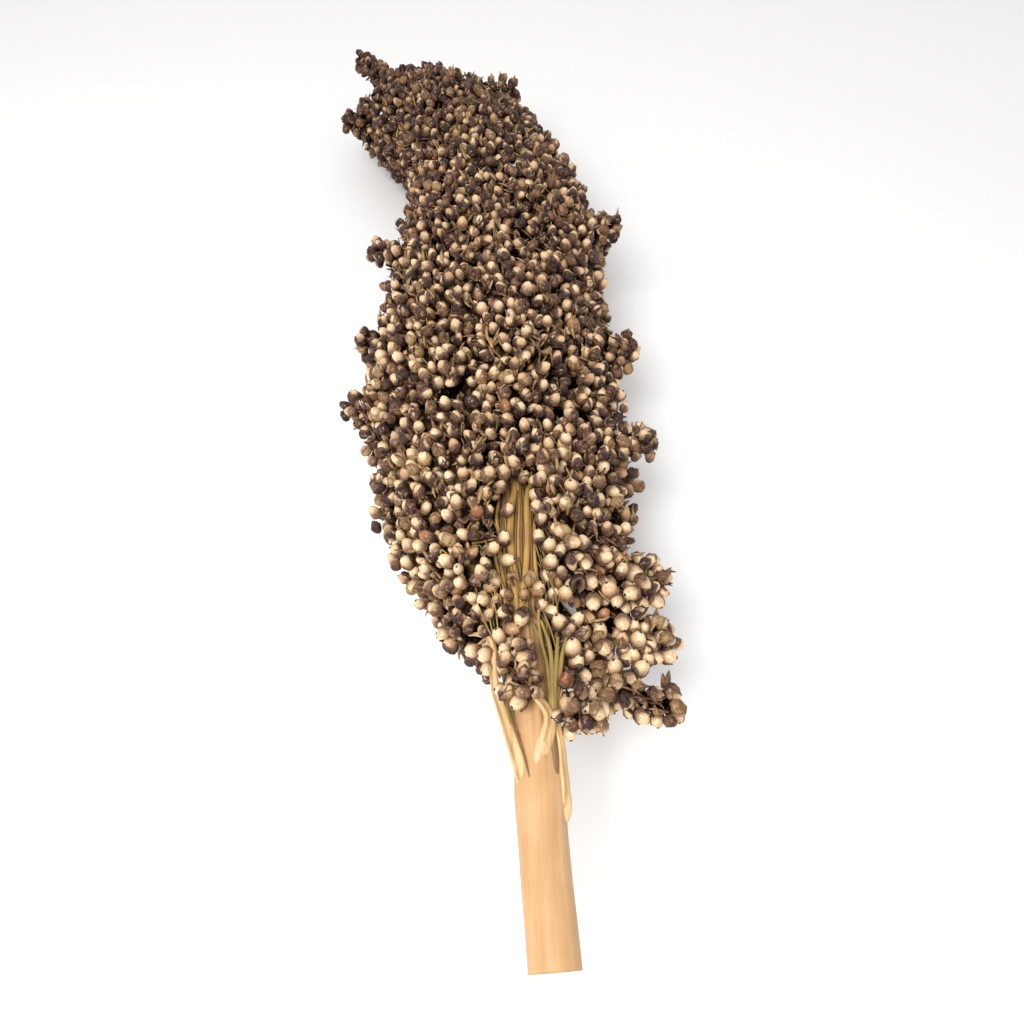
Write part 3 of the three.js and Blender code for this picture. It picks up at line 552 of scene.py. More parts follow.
# The seeds low on the head that stand apart from the rest, each where it hangs on its branch:
# x, y, z, half across, the turn of its free end, grain tone, husk cover, husk tone.
LOW_SEEDS = np.array([
    (-2.3, -108.4, 48.5, 1.85, 160, 0.12, 1, 0.25), (1.6, -111.4, 50, 2.04, 215, 0.22, 1.05, 0.3),
    (-2.1, -102.6, 47.5, 1.78, 120, 0.45, 1.1, 0.6), (4, -102.2, 50.5, 1.87, 60, 0.15, 0.8, 0.75),
    (1.2, -98.4, 49.5, 1.78, 75, 0.1, 0.8, 0.4), (-1.7, -98.8, 47.5, 1.56, 150, 0.2, 0.9, 0.4),
    (-3.1, -94.7, 48, 1.94, 110, 0.15, 0.8, 0.35), (0, -93.3, 49, 1.93, 10, 0.7, 0.7, 0.5),
    (2.4, -90.6, 50, 2.18, 250, 0.12, 1.15, 0.1), (-1.7, -88.2, 48, 1.85, 200, 0.1, 1.3, 0.1),
    (-6.3, -98.2, 44.5, 2.07, 190, 0.2, 1, 0.25), (-5.8, -101.6, 44, 1.69, 200, 0.1, 0.8, 0.3),
    (1.6, -104, 48.8, 1.64, 330, 0.9, 1.3, 0.7), (-0.7, -105.5, 47.6, 1.52, 300, 0.3, 1.3, 0.15),
    (7.2, -86.4, 47.5, 1.62, 60, 0.3, 1.2, 0.5), (14.6, -98, 48.5, 2.27, 100, 0.1, 0.8, 0.35),
    (15.5, -101, 46.5, 2.03, 70, 0.15, 1.15, 0.12), (12.5, -106.1, 49.5, 1.97, 80, 0.97, 0.85, 0.35),
    (17.3, -103.1, 44, 1.8, 330, 0.1, 0.9, 0.4), (14.5, -110.4, 47.5, 2.19, 190, 0.12, 0.85, 0.75),
    (17.5, -109.1, 48.5, 1.96, 40, 0.1, 0.9, 0.65), (13.3, -116.5, 44.5, 1.95, 265, 0.12, 0.95, 0.35),
    (17.6, -115, 44, 1.85, 300, 0.5, 1.35, 0.2), (10.8, -113.7, 47, 1.72, 190, 0.2, 1.35, 0.15),
    (13.7, -112.4, 44.5, 1.63, 250, 0.3, 1.4, 0.3), (20.7, -111.6, 43.5, 1.64, 300, 0.5, 1.4, 0.35),
    (27.8, -99.1, 43.5, 1.8, 60, 0.2, 1.1, 0.35), (20.1, -105.4, 43.5, 1.8, 250, 0.2, 1.2, 0.35),
    (33.4, -83.5, 43, 1.8, 300, 0.15, 0.95, 0.35), (12.7, -109, 44.3, 1.75, 200, 0.2, 1.35, 0.3),
    (15.2, -115, 44, 1.8, 270, 0.15, 0.95, 0.4), (32.6, -96.7, 43, 1.75, 60, 0.2, 1.15, 0.35),
    (35.2, -98.4, 43, 1.75, 320, 0.2, 1.15, 0.3), (27.6, -96.2, 42, 1.75, 80, 0.2, 1.15, 0.35),
    (21.6, -106.4, 42, 1.7, 260, 0.2, 1.3, 0.3), (31, -84.4, 42, 1.8, 300, 0.15, 1.05, 0.35),
    (-1.3, -60.2, 50.2, 1.75, 60, 0.3, 1.35, 0.55), (-2, -68.6, 49.8, 1.9, 80, 0.15, 1.05, 0.4),
    (-1.3, -74.8, 49.6, 1.95, 10, 0.2, 0.85, 0.45), (0.2, -79.9, 49.2, 1.7, 320, 0.4, 1.4, 0.7),
    (4.4, -80.2, 49.6, 1.75, 100, 0.4, 1.4, 0.9), (3, -84.6, 50, 1.4, 90, 0.78, 0.9, 0.6),
    (6.6, -83, 49.4, 1.75, 60, 0.45, 1.3, 0.85), (7, -68, 49.6, 1.9, 100, 0.15, 1.05, 0.25),
    (9.7, -70.2, 48.8, 1.95, 80, 0.12, 0.95, 0.4), (9.9, -75, 48.6, 2, 90, 0.12, 1, 0.3),
    (7.6, -62.6, 49.6, 1.8, 60, 0.3, 1.25, 0.4), (11.6, -65.2, 48.4, 1.95, 80, 0.2, 0.95, 0.4),
    (12.4, -71, 47.4, 1.9, 60, 0.2, 1.05, 0.3), (9.4, -58.2, 49.8, 1.9, 70, 0.15, 1, 0.4),
    (6.4, -55.6, 50.2, 1.85, 120, 0.2, 1.15, 0.5), (11.8, -94.6, 46.2, 1.7, 80, 0.3, 1.4, 0.3),
    (10.4, -98.8, 45.2, 1.6, 100, 0.3, 1.4, 0.3), (15.4, -94.6, 44.6, 1.8, 60, 0.2, 1.1, 0.3),
    (12, -103.2, 44.8, 1.7, 90, 0.2, 1.4, 0.35), (15.1, -104.6, 43.6, 1.7, 40, 0.3, 1.4, 0.25),
    (18.6, -98.2, 43.2, 1.75, 80, 0.2, 1.25, 0.3), (9.2, -76.9, 45.8, 2.18, 280, 0.12, 0.9, 0.12),
    (10.4, -82.9, 46.5, 1.64, 100, 0.1, 0.9, 0.4), (13.4, -83.1, 47, 2.02, 80, 0.4, 0.8, 0.5),
    (9.4, -88, 47, 1.86, 20, 0.1, 1.1, 0.12), (11.8, -90.9, 47.5, 2.09, 110, 0.2, 1, 0.25),
    (16, -90.1, 47, 1.97, 60, 0.1, 0.9, 0.3), (14, -76.1, 46, 1.94, 30, 0.3, 0.9, 0.6),
    (16.6, -80.8, 48.5, 2.14, 240, 0.2, 1.4, 0.12), (20, -80, 48, 1.9, 300, 0.3, 0.9, 0.4),
    (20.2, -85.5, 47.5, 2.12, 270, 0.12, 0.95, 0.45), (22.8, -88.6, 47, 1.49, 60, 0.85, 0.8, 0.5),
    (21.6, -93.1, 46.5, 2.08, 90, 0.2, 0.7, 0.5), (22.2, -96.4, 45, 2.08, 300, 0.3, 1.15, 0.7),
    (18, -93, 45, 1.85, 90, 0.2, 1.35, 0.3), (24.5, -82.7, 48.5, 2.13, 120, 0.35, 0.75, 0.55),
    (28.3, -76.6, 47, 1.93, 80, 0.2, 0.9, 0.35), (31.4, -77, 46.5, 2.32, 330, 0.25, 0.85, 0.4),
    (30.2, -83.1, 47.5, 2.14, 200, 0.15, 0.9, 0.35), (26.4, -84.5, 46.5, 1.89, 250, 0.15, 0.95, 0.4),
    (28.8, -85.2, 43.2, 1.66, 280, 0.2, 0.9, 0.4), (27.3, -90.3, 46, 1.98, 270, 0.2, 0.9, 0.3),
    (30.4, -91, 44.5, 1.74, 80, 0.3, 1.1, 0.6), (27, -94.8, 45.5, 1.84, 100, 0.4, 1.2, 0.65),
    (31, -94.6, 45, 2.09, 80, 0.12, 0.8, 0.5), (35.4, -80.5, 45, 2.18, 20, 0.3, 1.25, 0.2),
    (38.8, -80.7, 43, 1.68, 340, 0.4, 0.9, 0.5), (36.9, -83.4, 43.5, 2.05, 300, 0.3, 1.05, 0.3),
    (35.5, -76.3, 43.5, 1.57, 60, 0.3, 1, 0.6), (20.7, -101.7, 45, 1.92, 200, 0.3, 1.4, 0.7),
    (24.6, -101.8, 46, 2.03, 110, 0.12, 0.85, 0.35), (29.5, -98.5, 44.5, 1.7, 90, 0.15, 0.9, 0.4),
    (33.2, -99.1, 43.5, 1.71, 80, 0.2, 1.05, 0.45), (30.8, -101.9, 45, 2.16, 60, 0.12, 1, 0.2),
    (36.9, -93.3, 43, 1.99, 30, 0.35, 1.2, 0.25), (38.2, -97.8, 42.5, 2.09, 0, 0.2, 1.1, 0.15),
    (35.7, -95.6, 41, 1.75, 180, 0.3, 1.35, 0.15), (23.1, -108.1, 44.5, 1.89, 190, 0.1, 0.8, 0.25),
    (23.1, -110.6, 41.5, 1.55, 240, 0.15, 0.9, 0.45), (25.2, -109.5, 42, 1.55, 250, 0.12, 0.8, 0.4),
    (27.4, -109.4, 44, 1.89, 230, 0.12, 0.85, 0.3), (30, -105.9, 44.5, 1.78, 100, 0.12, 0.9, 0.35),
    (33.9, -107.5, 44, 1.9, 20, 0.2, 1.15, 0.25), (30.3, -112.6, 43, 1.88, 310, 0.15, 1.1, 0.1),
    (34, -113.2, 42.5, 1.76, 275, 0.12, 1.05, 0.1), (38.5, -112.4, 43, 1.88, 275, 0.12, 1.1, 0.08),
    (36.5, -109.8, 41.5, 1.55, 300, 0.3, 1.4, 0.15), (26.4, -105.1, 43.5, 1.56, 100, 0.3, 1.3, 0.7),
    (28.7, -102.7, 42, 1.58, 40, 0.3, 1.4, 0.15), (-6.9, -82.5, 44, 2.18, 180, 0.2, 1, 0.3),
    (-8, -78.2, 45, 2.19, 190, 0.15, 1, 0.3), (-5.6, -87.6, 43.5, 2.15, 170, 0.2, 1, 0.3),
    (-10.8, -82.7, 42.5, 2.19, 180, 0.15, 1, 0.3), (-9.7, -87, 41.5, 2.17, 190, 0.15, 1.1, 0.3),
    (-13.1, -90.1, 38.5, 2.06, 190, 0.15, 1.1, 0.25), (-9.8, -95.1, 39.5, 2.02, 200, 0.12, 1, 0.25),
    (-17.4, -89.6, 36.5, 2.08, 170, 0.2, 1.2, 0.2),
])

corners = np.concatenate([facets(name) for names in GROUPS.values() for name in names])
owner = np.concatenate(
    [np.full(len(facets(name)), k) for k, names in enumerate(GROUPS.values()) for name in names]
)
weighted = facet_normals(corners)
area = np.linalg.norm(weighted, axis=1)
facing = weighted / area[:, None]
middle = corners.mean(1)

near = point_tree(middle)
smooth = np.empty_like(facing)
for k, point in enumerate(middle):
    others = within(near, point, SMOOTHED_OVER)
    agree = np.clip(facing[others] @ facing[k] + LEAST_FACING, 0, None)
    smooth[k] = (weighted[others] * agree[:, None]).sum(0)
smooth = unit(smooth)

walls = np.concatenate([corners, facets("stem_and_branches")])
solid = BVHTree.FromPolygons(walls.reshape(-1, 3).tolist(), np.arange(len(walls) * 3).reshape(-1, 3).tolist())
nth = np.arange(RAYS) + 0.5
polar, spin = np.arccos(1 - 2 * nth / RAYS), np.pi * (1 + 5**0.5) * nth
rays = np.stack([np.sin(polar) * np.cos(spin), np.sin(polar) * np.sin(spin), np.cos(polar)], -1)
openness = np.zeros(len(middle))
for k, point in enumerate(middle):
    start = point + 0.5 * facing[k]
    out = rays[rays @ smooth[k] > LEAST_FACING]
    openness[k] = sum(solid.ray_cast(start, ray, FREE_FOR)[0] is None for ray in out) / len(out)

chosen = np.flatnonzero(openness > OPEN_SHARE)
picked = draws.choice(chosen, CANDIDATES, p=area[chosen] / area[chosen].sum())
mix = np.sort(draws.random((CANDIDATES, 2)), 1)
share = np.stack([mix[:, 0], mix[:, 1] - mix[:, 0], 1 - mix[:, 1]], -1)
surface_points = (corners[picked] * share[..., None]).sum(1)
outward = smooth[picked]
# Above the bare channel the seeds of the two top sprays meet over the rachis.
span = draws.random(MEETING)
surface_points[:MEETING, 1] = -50 + 34 * span
surface_points[:MEETING, 0] = -1.2 - 5.3 * span + draws.uniform(-3.4, 3.4, MEETING)
surface_points[:MEETING, 2] = 54.6 + 2.0 * span + draws.uniform(-0.6, 0.6, MEETING)
outward[:MEETING] = (0, 0, 1)
picked[:MEETING] = np.argmin(owner)
filled = slice(MEETING, MEETING + AT_EACH * len(CROWDED))
spread = draws.uniform(-CROWD_SPREAD, CROWD_SPREAD, (AT_EACH * len(CROWDED), 3))
surface_points[filled] = np.repeat(CROWDED, AT_EACH, 0) + spread
nearest = point_tree(surface_points[filled.stop :])
for k in range(filled.start, filled.stop):
    _, found, gap = nearest.find(surface_points[k])
    found += filled.stop
    if gap > HELD_WITHIN:
        surface_points[k] = surface_points[found]
    picked[k] = picked[found]
    outward[k] = outward[found]


def thinned(places, apart, taken, taken_apart):
    """Keeps points in their drawn order, each at least apart from those kept, and clear of those taken."""
    tree = point_tree(places)
    alive = np.ones(len(places), bool)
    for point in taken:
        alive[within(tree, point, taken_apart)] = False
    kept = []
    for k, point in enumerate(places):
        if alive[k]:
            kept.append(k)
            alive[within(tree, point, apart)] = False
    return np.array(kept)


def inside_box(places, margin):
    """The points moved inside the solid model's box by at least margin."""
    return np.clip(places, CAD_LOW - HEAD_PLACE + margin, CAD_HIGH - HEAD_PLACE - margin)


low_places = inside_box(LOW_SEEDS[:, :3], SEED_SIZE)
depth = OUTER_DEPTH + draws.uniform(-0.9, 0.9, CANDIDATES)
outer_places = inside_box(surface_points - depth[:, None] * outward, SEED_SIZE)
outer = thinned(outer_places, SEED_APART, low_places, CLEAR_OF_LOW)
# Where the low seeds hang, no other seed stands in front of the stem or of them.
x, y, z = outer_places[outer].T
in_front = (y < -86) & (z > 41) & (x > -12)
outer = outer[~in_front]
depth = DEEP_DEPTH + draws.uniform(-0.6, 1.3, CANDIDATES)
deep_places = inside_box(surface_points - depth[:, None] * outward, SEED_SIZE + 0.5)
deep = thinned(deep_places, DEEP_APART, np.concatenate([outer_places[outer], low_places]), CLEAR_OF_OUTER)


def seed_axes(places, outward):
    """The way each seed points: outwards, leaning to the head's tip, with its own random part."""
    up_the_head = np.tile((-0.25, 1.0, 0.0), (len(places), 1))
    low_right = (places[:, 0] > 15) & (places[:, 1] < -70)
    up_the_head[low_right] = (0.9, -0.45, -0.2)
    return unit(0.6 * outward + 0.7 * up_the_head + draws.normal(0, 0.36, places.shape))


def placed(places, sizes, across, axes, x, y, z):
    """The points place + size (x side + y up + z axis) of each seed."""
    side, up = across
    local = x[..., None] * side[:, None] + y[..., None] * up[:, None] + z[..., None] * axes[:, None]
    return places[:, None] + sizes[:, None, None] * local


def grains(places, axes, sizes, around, levels):
    """Egg shapes: at each polar angle from the free end, wide = sin(angle) and along = cos(angle),
    a little flat on one side, with the free end drawn to a slight point."""
    angle = np.pi * (1 - np.array(levels))
    turn = turns(around)
    across = cross_frame(axes, draws.normal(0, 1, axes.shape))
    wide = np.sin(angle) * (1 - 0.09 * np.cos(angle))
    along = 1.24 * np.cos(angle) + 0.08 * np.exp(-((angle / 0.4) ** 2))
    x = np.append((wide[:, None] * np.cos(turn)).ravel(), [0, 0])
    y = np.append((0.86 * wide[:, None] * np.sin(turn)).ravel(), [0, 0])
    z = np.append(np.repeat(along, around), [-1.24, 1.32])
    return placed(places, sizes, across, axes, x, y, z), tube_triangles(len(levels), around), z, across


def husk_cups(places, axes, across, sizes, cover, around, steps):
    """A shell round the seed's base: its rim stands at 60 degrees from the base, rising to two points,
    one on each broad side. The wall crinkles and flares, turns in at the rim and ends inside the grain."""
    count = len(places)
    turn = turns(around)
    rise = np.cos(turn)
    rim = 60 + 56 * np.clip(rise, 0, None) ** 1.4 + 44 * np.clip(-rise, 0, None) ** 1.4
    rim = np.radians(rim[None] * cover[:, None] + draws.normal(0, 5, (count, around)))
    part = np.linspace(0.35, 1.0, steps)
    angle = np.concatenate([rim[:, None] * part[None, :, None], rim[:, None]], 1)
    flare = np.array([1.06, 1.09, 1.14])[-steps:]
    reach = np.append(flare, 1.03)[None, :, None] + draws.normal(0, 0.022, angle.shape)
    x = (np.sin(angle) * reach * np.cos(turn)).reshape(count, -1)
    y = (np.sin(angle) * reach * 0.88 * np.sin(turn)).reshape(count, -1)
    z = (-1.21 * np.cos(angle) * reach).reshape(count, -1)
    ends = np.zeros((count, 2))
    x = np.concatenate([x, ends], 1)
    y = np.concatenate([y, ends], 1)
    z = np.concatenate([z, ends + (-1.35, -0.3)], 1)
    height = np.append(np.repeat(np.append(part, 1.0), around), [0.0, 0.6])
    ridge = np.append(np.tile(np.abs(turn / np.pi - 1), steps + 1), [0.5, 0.5])
    points = placed(places, sizes, across, axes, x, y, z)
    return points, tube_triangles(steps + 1, around), {"husk_height": height, "husk_side": ridge}


# Ripe grain skin: hard, waxy and slightly glossy. Cream in most, yellow, tan or rust in some.
# Stains and painted shade spread from the husk's edge, and the free end has a dark scar 0.5 mm wide.
grain_skin, tree, place = new_material("ripe_grain_skin")
tone = add(tree, "ShaderNodeAttribute", None, {"attribute_name": "seed_tone"}, "Fac")
height = add(tree, "ShaderNodeAttribute", None, {"attribute_name": "seed_height"}, "Fac")
mottle = add(tree, "ShaderNodeTexNoise", {"Vector": place, "Scale": 700.0, "Detail": 4.0})
speck = add(tree, "ShaderNodeTexNoise", {"Vector": place, "Scale": 2200.0, "Detail": 3.0})
stops = [(0.0, "#EED2A8"), (0.3, "#E6C59C"), (0.55, "#D2A97C"), (0.78, "#AC7E54"), (0.92, "#8E5634"), (1.0, "#64321F")]
body = add(tree, "ShaderNodeValToRGB", {"Fac": tone}, {"stops": stops})
# Darker towards the grain's foot, by the husk's edge: a brown stain there, and painted shade.
foot_stain_and_shade = add(tree, "ShaderNodeMath", {0: mottle, 1: 1.4, 2: -0.7}, {"operation": "MULTIPLY_ADD"})
foot_stain_and_shade = add(tree, "ShaderNodeMath", {0: height, 1: foot_stain_and_shade}, {"operation": "ADD"})
# One of these, the dark brown towards the grain's foot, is partly a stain and partly painted shade.
stains_and_shade = [  # what each follows, where that begins and ends, the stain's strength and its colour
    (mottle, 0.44, 0.7, 0.72, "#BC8E60"),
    (foot_stain_and_shade, 0.62, -0.35, 0.92, "#6A4630"),
    (speck, 0.62, 0.7, 0.85, "#83482E"),
    (height, 1.22, 1.28, 1.0, "#2A1610"),
]
for follows, first, last, most, code in stains_and_shade:
    darkening = add(tree, "ShaderNodeMapRange", {"Value": follows, "From Min": first, "From Max": last, "To Max": most})
    body = add(tree, "ShaderNodeMix", {0: darkening, 6: body, 7: colour(code)}, {"data_type": "RGBA"}, 2)
dimple = add(tree, "ShaderNodeBump", {"Strength": 0.25, "Distance": 0.0002, "Height": mottle})
skin = {"Base Color": body, "Roughness": 0.34, "Normal": dimple, "Specular IOR Level": 0.5}
add(tree, "ShaderNodeOutputMaterial", {"Surface": add(tree, "ShaderNodeBsdfPrincipled", skin)})

# Dry husk: thin, stiff and a little shiny, near black with a plum cast, brown or tan in some.
# Its nerves run lengthwise and its edge is paler and ragged.
husk_skin, tree, place = new_material("dry_dark_husk")
tone = add(tree, "ShaderNodeAttribute", None, {"attribute_name": "husk_tone"}, "Fac")
height = add(tree, "ShaderNodeAttribute", None, {"attribute_name": "husk_height"}, "Fac")
side = add(tree, "ShaderNodeAttribute", None, {"attribute_name": "husk_side"}, "Fac")
mottle = add(tree, "ShaderNodeTexNoise", {"Vector": place, "Scale": 900.0, "Detail": 4.0})
sway = add(tree, "ShaderNodeMath", {0: mottle, 1: 4.0}, {"operation": "MULTIPLY"})
lines = add(tree, "ShaderNodeMath", {0: side, 1: 38.0, 2: sway}, {"operation": "MULTIPLY_ADD"})
lines = add(tree, "ShaderNodeMath", {0: lines}, {"operation": "SINE"})
shade = add(tree, "ShaderNodeMath", {0: mottle, 1: 1.1, 2: -0.52}, {"operation": "MULTIPLY_ADD"})
shade = add(tree, "ShaderNodeMath", {0: lines, 1: 0.09, 2: shade}, {"operation": "MULTIPLY_ADD"})
shade = add(tree, "ShaderNodeMath", {0: tone, 1: shade}, {"operation": "ADD", "use_clamp": True})
stops = [(0.0, "#241716"), (0.35, "#442C26"), (0.55, "#624331"), (0.78, "#866545"), (1.0, "#AC8E62")]
body = add(tree, "ShaderNodeValToRGB", {"Fac": shade}, {"stops": stops})
rim = add(tree, "ShaderNodeMath", {0: mottle, 1: 0.3, 2: height}, {"operation": "MULTIPLY_ADD"})
rim = add(tree, "ShaderNodeMapRange", {"Value": rim, "From Min": 0.9, "From Max": 1.22, "To Max": 0.7})
body = add(tree, "ShaderNodeMix", {0: rim, 6: body, 7: colour("#8F7356")}, {"data_type": "RGBA"}, 2)
raised = add(tree, "ShaderNodeMath", {0: lines, 1: 0.18, 2: mottle}, {"operation": "MULTIPLY_ADD"})
nerves = add(tree, "ShaderNodeBump", {"Strength": 0.7, "Distance": 0.0003, "Height": raised})
skin = {"Base Color": body, "Roughness": 0.6, "Normal": nerves, "Specular IOR Level": 0.3}
add(tree, "ShaderNodeOutputMaterial", {"Surface": add(tree, "ShaderNodeBsdfPrincipled", skin)})

# The grains near the tip are browner, partly their own colour and partly painted shade.
TIP_BROWN_AND_SHADE = 0.43  # how much browner the grains near the head's tip are
RUSTY_SHARE = 0.05  # of the grains
PALE_HUSK_SHARE = 0.09
EMPTY_SHARE = 0.07  # of the husks
EMPTY_COVER = 1.38  # a low seed whose husk covers it by as much as this has no grain
OUTER_LEVELS = [0.16, 0.34, 0.54, 0.74, 0.92]  # of the way from a grain's foot to its free end
UNDER = 12.0  # mm above the floor: seeds lower than this are coarser
grain_parts = {group: [] for group in GROUPS}
husk_parts = {group: [] for group in GROUPS}


def seeds(group, places, axes, sizes, tones, covers, husk_tones, full, around, levels, husk_around, steps):
    """Adds one grain and one husk cup at each place to a group's parts, with no grain where full is false."""
    points, triangles, height, across = grains(places, axes, sizes, around, levels)
    marks = {"seed_height": height, "seed_tone": tones[full, None]}
    grain_parts[group].append((points[full], triangles, marks))
    points, triangles, marks = husk_cups(places, axes, across, sizes, covers, husk_around, steps)
    husk_parts[group].append((points, triangles, marks | {"husk_tone": husk_tones[:, None]}))


turn = np.radians(LOW_SEEDS[:, 4])
low_axes = np.stack([np.cos(turn), 0.85 * np.sin(turn) - 0.3, 0.35 * np.sin(turn) + 0.62], 1)
low_axes = unit(low_axes + draws.normal(0, 0.08, low_axes.shape))
seeds(
    "base", low_places, low_axes, LOW_SEEDS[:, 3], LOW_SEEDS[:, 5], LOW_SEEDS[:, 6], LOW_SEEDS[:, 7],
    LOW_SEEDS[:, 6] < EMPTY_COVER, 14, [0.1, 0.22, 0.36, 0.5, 0.64, 0.78, 0.9, 0.96], 16, 3,
)
under = (outer_places[:, 2] < UNDER) & (surface_points[:, 2] < UNDER)
layers = [
    (outer_places, outer[~under[outer]], 12, OUTER_LEVELS, 10, 3),
    (outer_places, outer[under[outer]], 8, [0.2, 0.5, 0.8], 8, 2),
    (deep_places, deep, 8, [0.25, 0.5, 0.75], 8, 2),
]
for layer_places, kept, around, levels, husk_around, steps in layers:
    for number, group in enumerate(GROUPS):
        mine = kept[owner[picked[kept]] == number]
        count = len(mine)
        if not count:
            continue
        places = layer_places[mine]
        tip_side = np.clip((places[:, 1] - 20) / 160, 0, 1)
        low_side = np.clip((-35 - places[:, 1]) / 35, 0, 1)
        rusty = draws.random(count) < RUSTY_SHARE
        tones = np.where(rusty, draws.uniform(0.7, 1.0, count), draws.beta(1.3, 4.0, count))
        pale = draws.random(count) < PALE_HUSK_SHARE
        browns = np.where(pale, draws.uniform(0.55, 1, count), draws.beta(1.6, 3.4, count))
        near_lens = group in ("whorl1", "base")
        seeds(
            group, places, seed_axes(places, outward[mine]), SEED_SIZE * draws.uniform(0.84, 1.08, count),
            # Grains and husks are painted lighter towards the stem's end, as painted light, and darker towards the
            # tip, as painted shade.
            np.clip(tones + TIP_BROWN_AND_SHADE * tip_side - 0.12 * low_side, 0, 1),
            np.clip(draws.normal(1.06 + 0.42 * tip_side - 0.1 * low_side, 0.24, count), 0.6, 1.55),
            np.clip(browns - 0.08 * tip_side + 0.1 * low_side, 0, 1),
            draws.random(count) > EMPTY_SHARE,
            around if near_lens else min(around, 10), levels, husk_around, steps,
        )
for group, nodes in GROUPS.items():
    grown_piece("grains_" + group, grain_parts[group], grain_skin, nodes)
    grown_piece("husks_" + group, husk_parts[group], husk_skin, nodes)

# The litter between the seeds: empty pointed spikelets, 4 to 6 mm long, and thin seed stalks.
# They are dry, brown to straw, and lie in the gaps just below the outer grains.

SLIVERS = 4000
STALKS = 1200
slivered = draws.choice(CANDIDATES, SLIVERS, replace=False)
places = surface_points[slivered] - draws.uniform(-0.4, 2.4, SLIVERS)[:, None] * outward[slivered]
axes = unit(seed_axes(places, outward[slivered]) + draws.normal(0, 0.35, (SLIVERS, 3)))
length = draws.uniform(3.6, 5.6, SLIVERS)
steps = np.array([-0.5, -0.2, 0.15, 0.5])
side, up = cross_frame(axes, draws.normal(0, 1, axes.shape))
paths = (
    places[:, None]
    + (length[:, None] * steps)[..., None] * axes[:, None]
    + (length[:, None] * 0.35 * steps**2)[..., None] * up[:, None]
)
paths = inside_box(paths, 0.3)
width = draws.uniform(0.4, 0.75, SLIVERS)[:, None] * np.array([0.4, 1.0, 0.9, 0.12])
points, triangles = tubes(paths, width, 3, flat=0.6)
marks = {"husk_height": 0.5, "husk_side": 0.3, "husk_tone": draws.beta(1.7, 1.3, SLIVERS)[:, None]}
grown_piece("empty_spikelets", [(points, triangles, marks)], husk_skin)

along_head = np.flatnonzero((surface_points[:, 1] > -80) & (np.abs(surface_points[:, 0] + 6) < 24))
stalked = draws.choice(along_head, STALKS, replace=False)
heads = surface_points[stalked] - draws.uniform(0.8, 2.2, STALKS)[:, None] * outward[stalked]
down = -0.9 * outward[stalked] + (0, -0.5, 0) + draws.normal(0, 0.2, (STALKS, 3))
reach = draws.uniform(3, 6, STALKS)
steps = np.linspace(0, 1, 5)
bow = draws.normal(0, 0.8, (STALKS, 3))
paths = heads[:, None] + (reach[:, None] * steps)[..., None] * down[:, None]
paths = paths + np.sin(np.pi * steps)[:, None] * bow[:, None]
points, triangles = tubes(inside_box(paths, 0.3), draws.uniform(0.22, 0.34, STALKS)[:, None], 3)
# The stalks are painted a little darker, as shade in the gaps.
grown_piece("seed_stalks", [(points, triangles, {"furrow": 0.3})], green_straw)

# The leafy husks that stand up at the ends of the low right sprays.
# Each is a dry grey-olive pair of empty husks, 5 to 7 mm long, flat and sharp.

LEAFY_HUSKS = [  # foot and tip
    [(36.6, -107.6, 42.5), (37.7, -102.2, 45)],
    [(36.2, -107.2, 42.8), (36.2, -102.8, 44.6)],
    [(34.6, -92.6, 43), (36.4, -86.4, 45.6)],
    [(34, -92, 43.4), (34, -87.6, 45)],
    [(36.8, -79.6, 44), (41.4, -74.8, 45.4)],
    [(36.6, -79, 43.4), (38.6, -73.4, 44.6)],
]
LEAFY_RADIUS = 0.85  # mm
steps = np.linspace(0, 1, 12)
ends = np.array(LEAFY_HUSKS)
paths = ends[:, :1] * (1 - steps[:, None]) + ends[:, 1:] * steps[:, None]
paths[..., 2] += 0.5 * np.sin(np.pi * steps)
radii = LEAFY_RADIUS * np.sin(np.pi * (0.1 + 0.87 * steps)) ** 0.8
points, triangles = tubes(inside_box(paths, 0.4), radii, 8, flat=0.3)
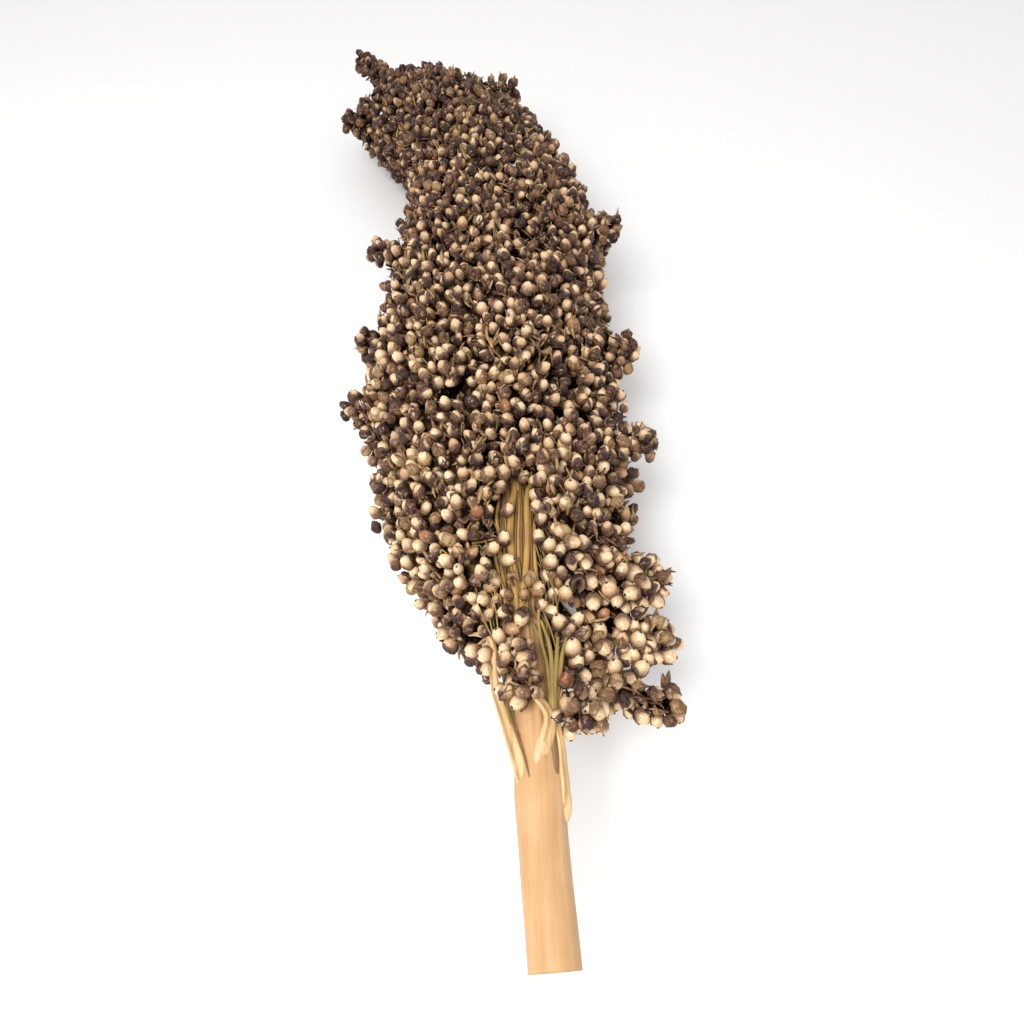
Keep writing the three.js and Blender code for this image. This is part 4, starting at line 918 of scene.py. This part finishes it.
marks = {
    "husk_height": np.append(np.repeat(steps, 8), [0, 1.0]),
    "husk_side": np.append(np.tile(np.abs(np.arange(8) / 4 - 1), 12), [0.5, 0.5]),
    "husk_tone": 0.62,
}
grown_piece("leafy_husks", [(points, triangles, marks)], husk_skin)

# The floor is a plain pale sheet with a matt painted face, which the head lies on.
# One broad soft lamp near the lens and a pale surround light it.

floor_mesh = bpy.data.meshes.new("floor")
floor_mesh.from_pydata([(-3, -3, 0), (3, -3, 0), (3, 3, 0), (-3, 3, 0)], [], [(0, 1, 2, 3)])
floor = bpy.data.objects.new("floor", floor_mesh)
bpy.context.scene.collection.objects.link(floor)
pale, tree, place = new_material("pale_floor_paint")
cloudy = add(tree, "ShaderNodeTexNoise", {"Vector": place, "Scale": 3.0})
tint = add(tree, "ShaderNodeValToRGB", {"Fac": cloudy}, {"stops": [(0.3, "#FBFAF9"), (0.7, "#FDFDFC")]})
skin = {"Base Color": tint, "Roughness": 0.9}
add(tree, "ShaderNodeOutputMaterial", {"Surface": add(tree, "ShaderNodeBsdfPrincipled", skin)})
floor_mesh.materials.append(pale)

world = bpy.data.worlds.new("pale_surround")
world.use_nodes = True
surround = world.node_tree.nodes["Background"].inputs
surround["Color"].default_value = (1, 1, 1, 1)
surround["Strength"].default_value = 0.78
bpy.context.scene.world = world

lamp_data = bpy.data.lights.new("soft_lamp", "AREA")
lamp_data.energy = 1.8
lamp_data.size = 0.22
lamp = bpy.data.objects.new("soft_lamp", lamp_data)
lamp.location = (-0.11, -0.25, 0.42)
lamp.rotation_euler = (np.radians(27), np.radians(-15), 0)
bpy.context.scene.collection.objects.link(lamp)
bpy.context.scene.view_settings.view_transform = "Standard"

# The camera looks down on the head from just behind the stem's end, as a phone is held.
# Its lens is wide and close, so the seeds near the stem look larger than those at the tip.

camera_data = bpy.data.cameras.new("camera")
camera_data.sensor_width = 36.0
camera_data.lens = 24.61
camera_data.clip_start = 0.01
camera = bpy.data.objects.new("camera", camera_data)
camera.location = (0.01775, -0.182167, 0.2078)
camera.rotation_euler = (np.radians(31.8), 0, 0)
bpy.context.scene.collection.objects.link(camera)
bpy.context.scene.camera = camera
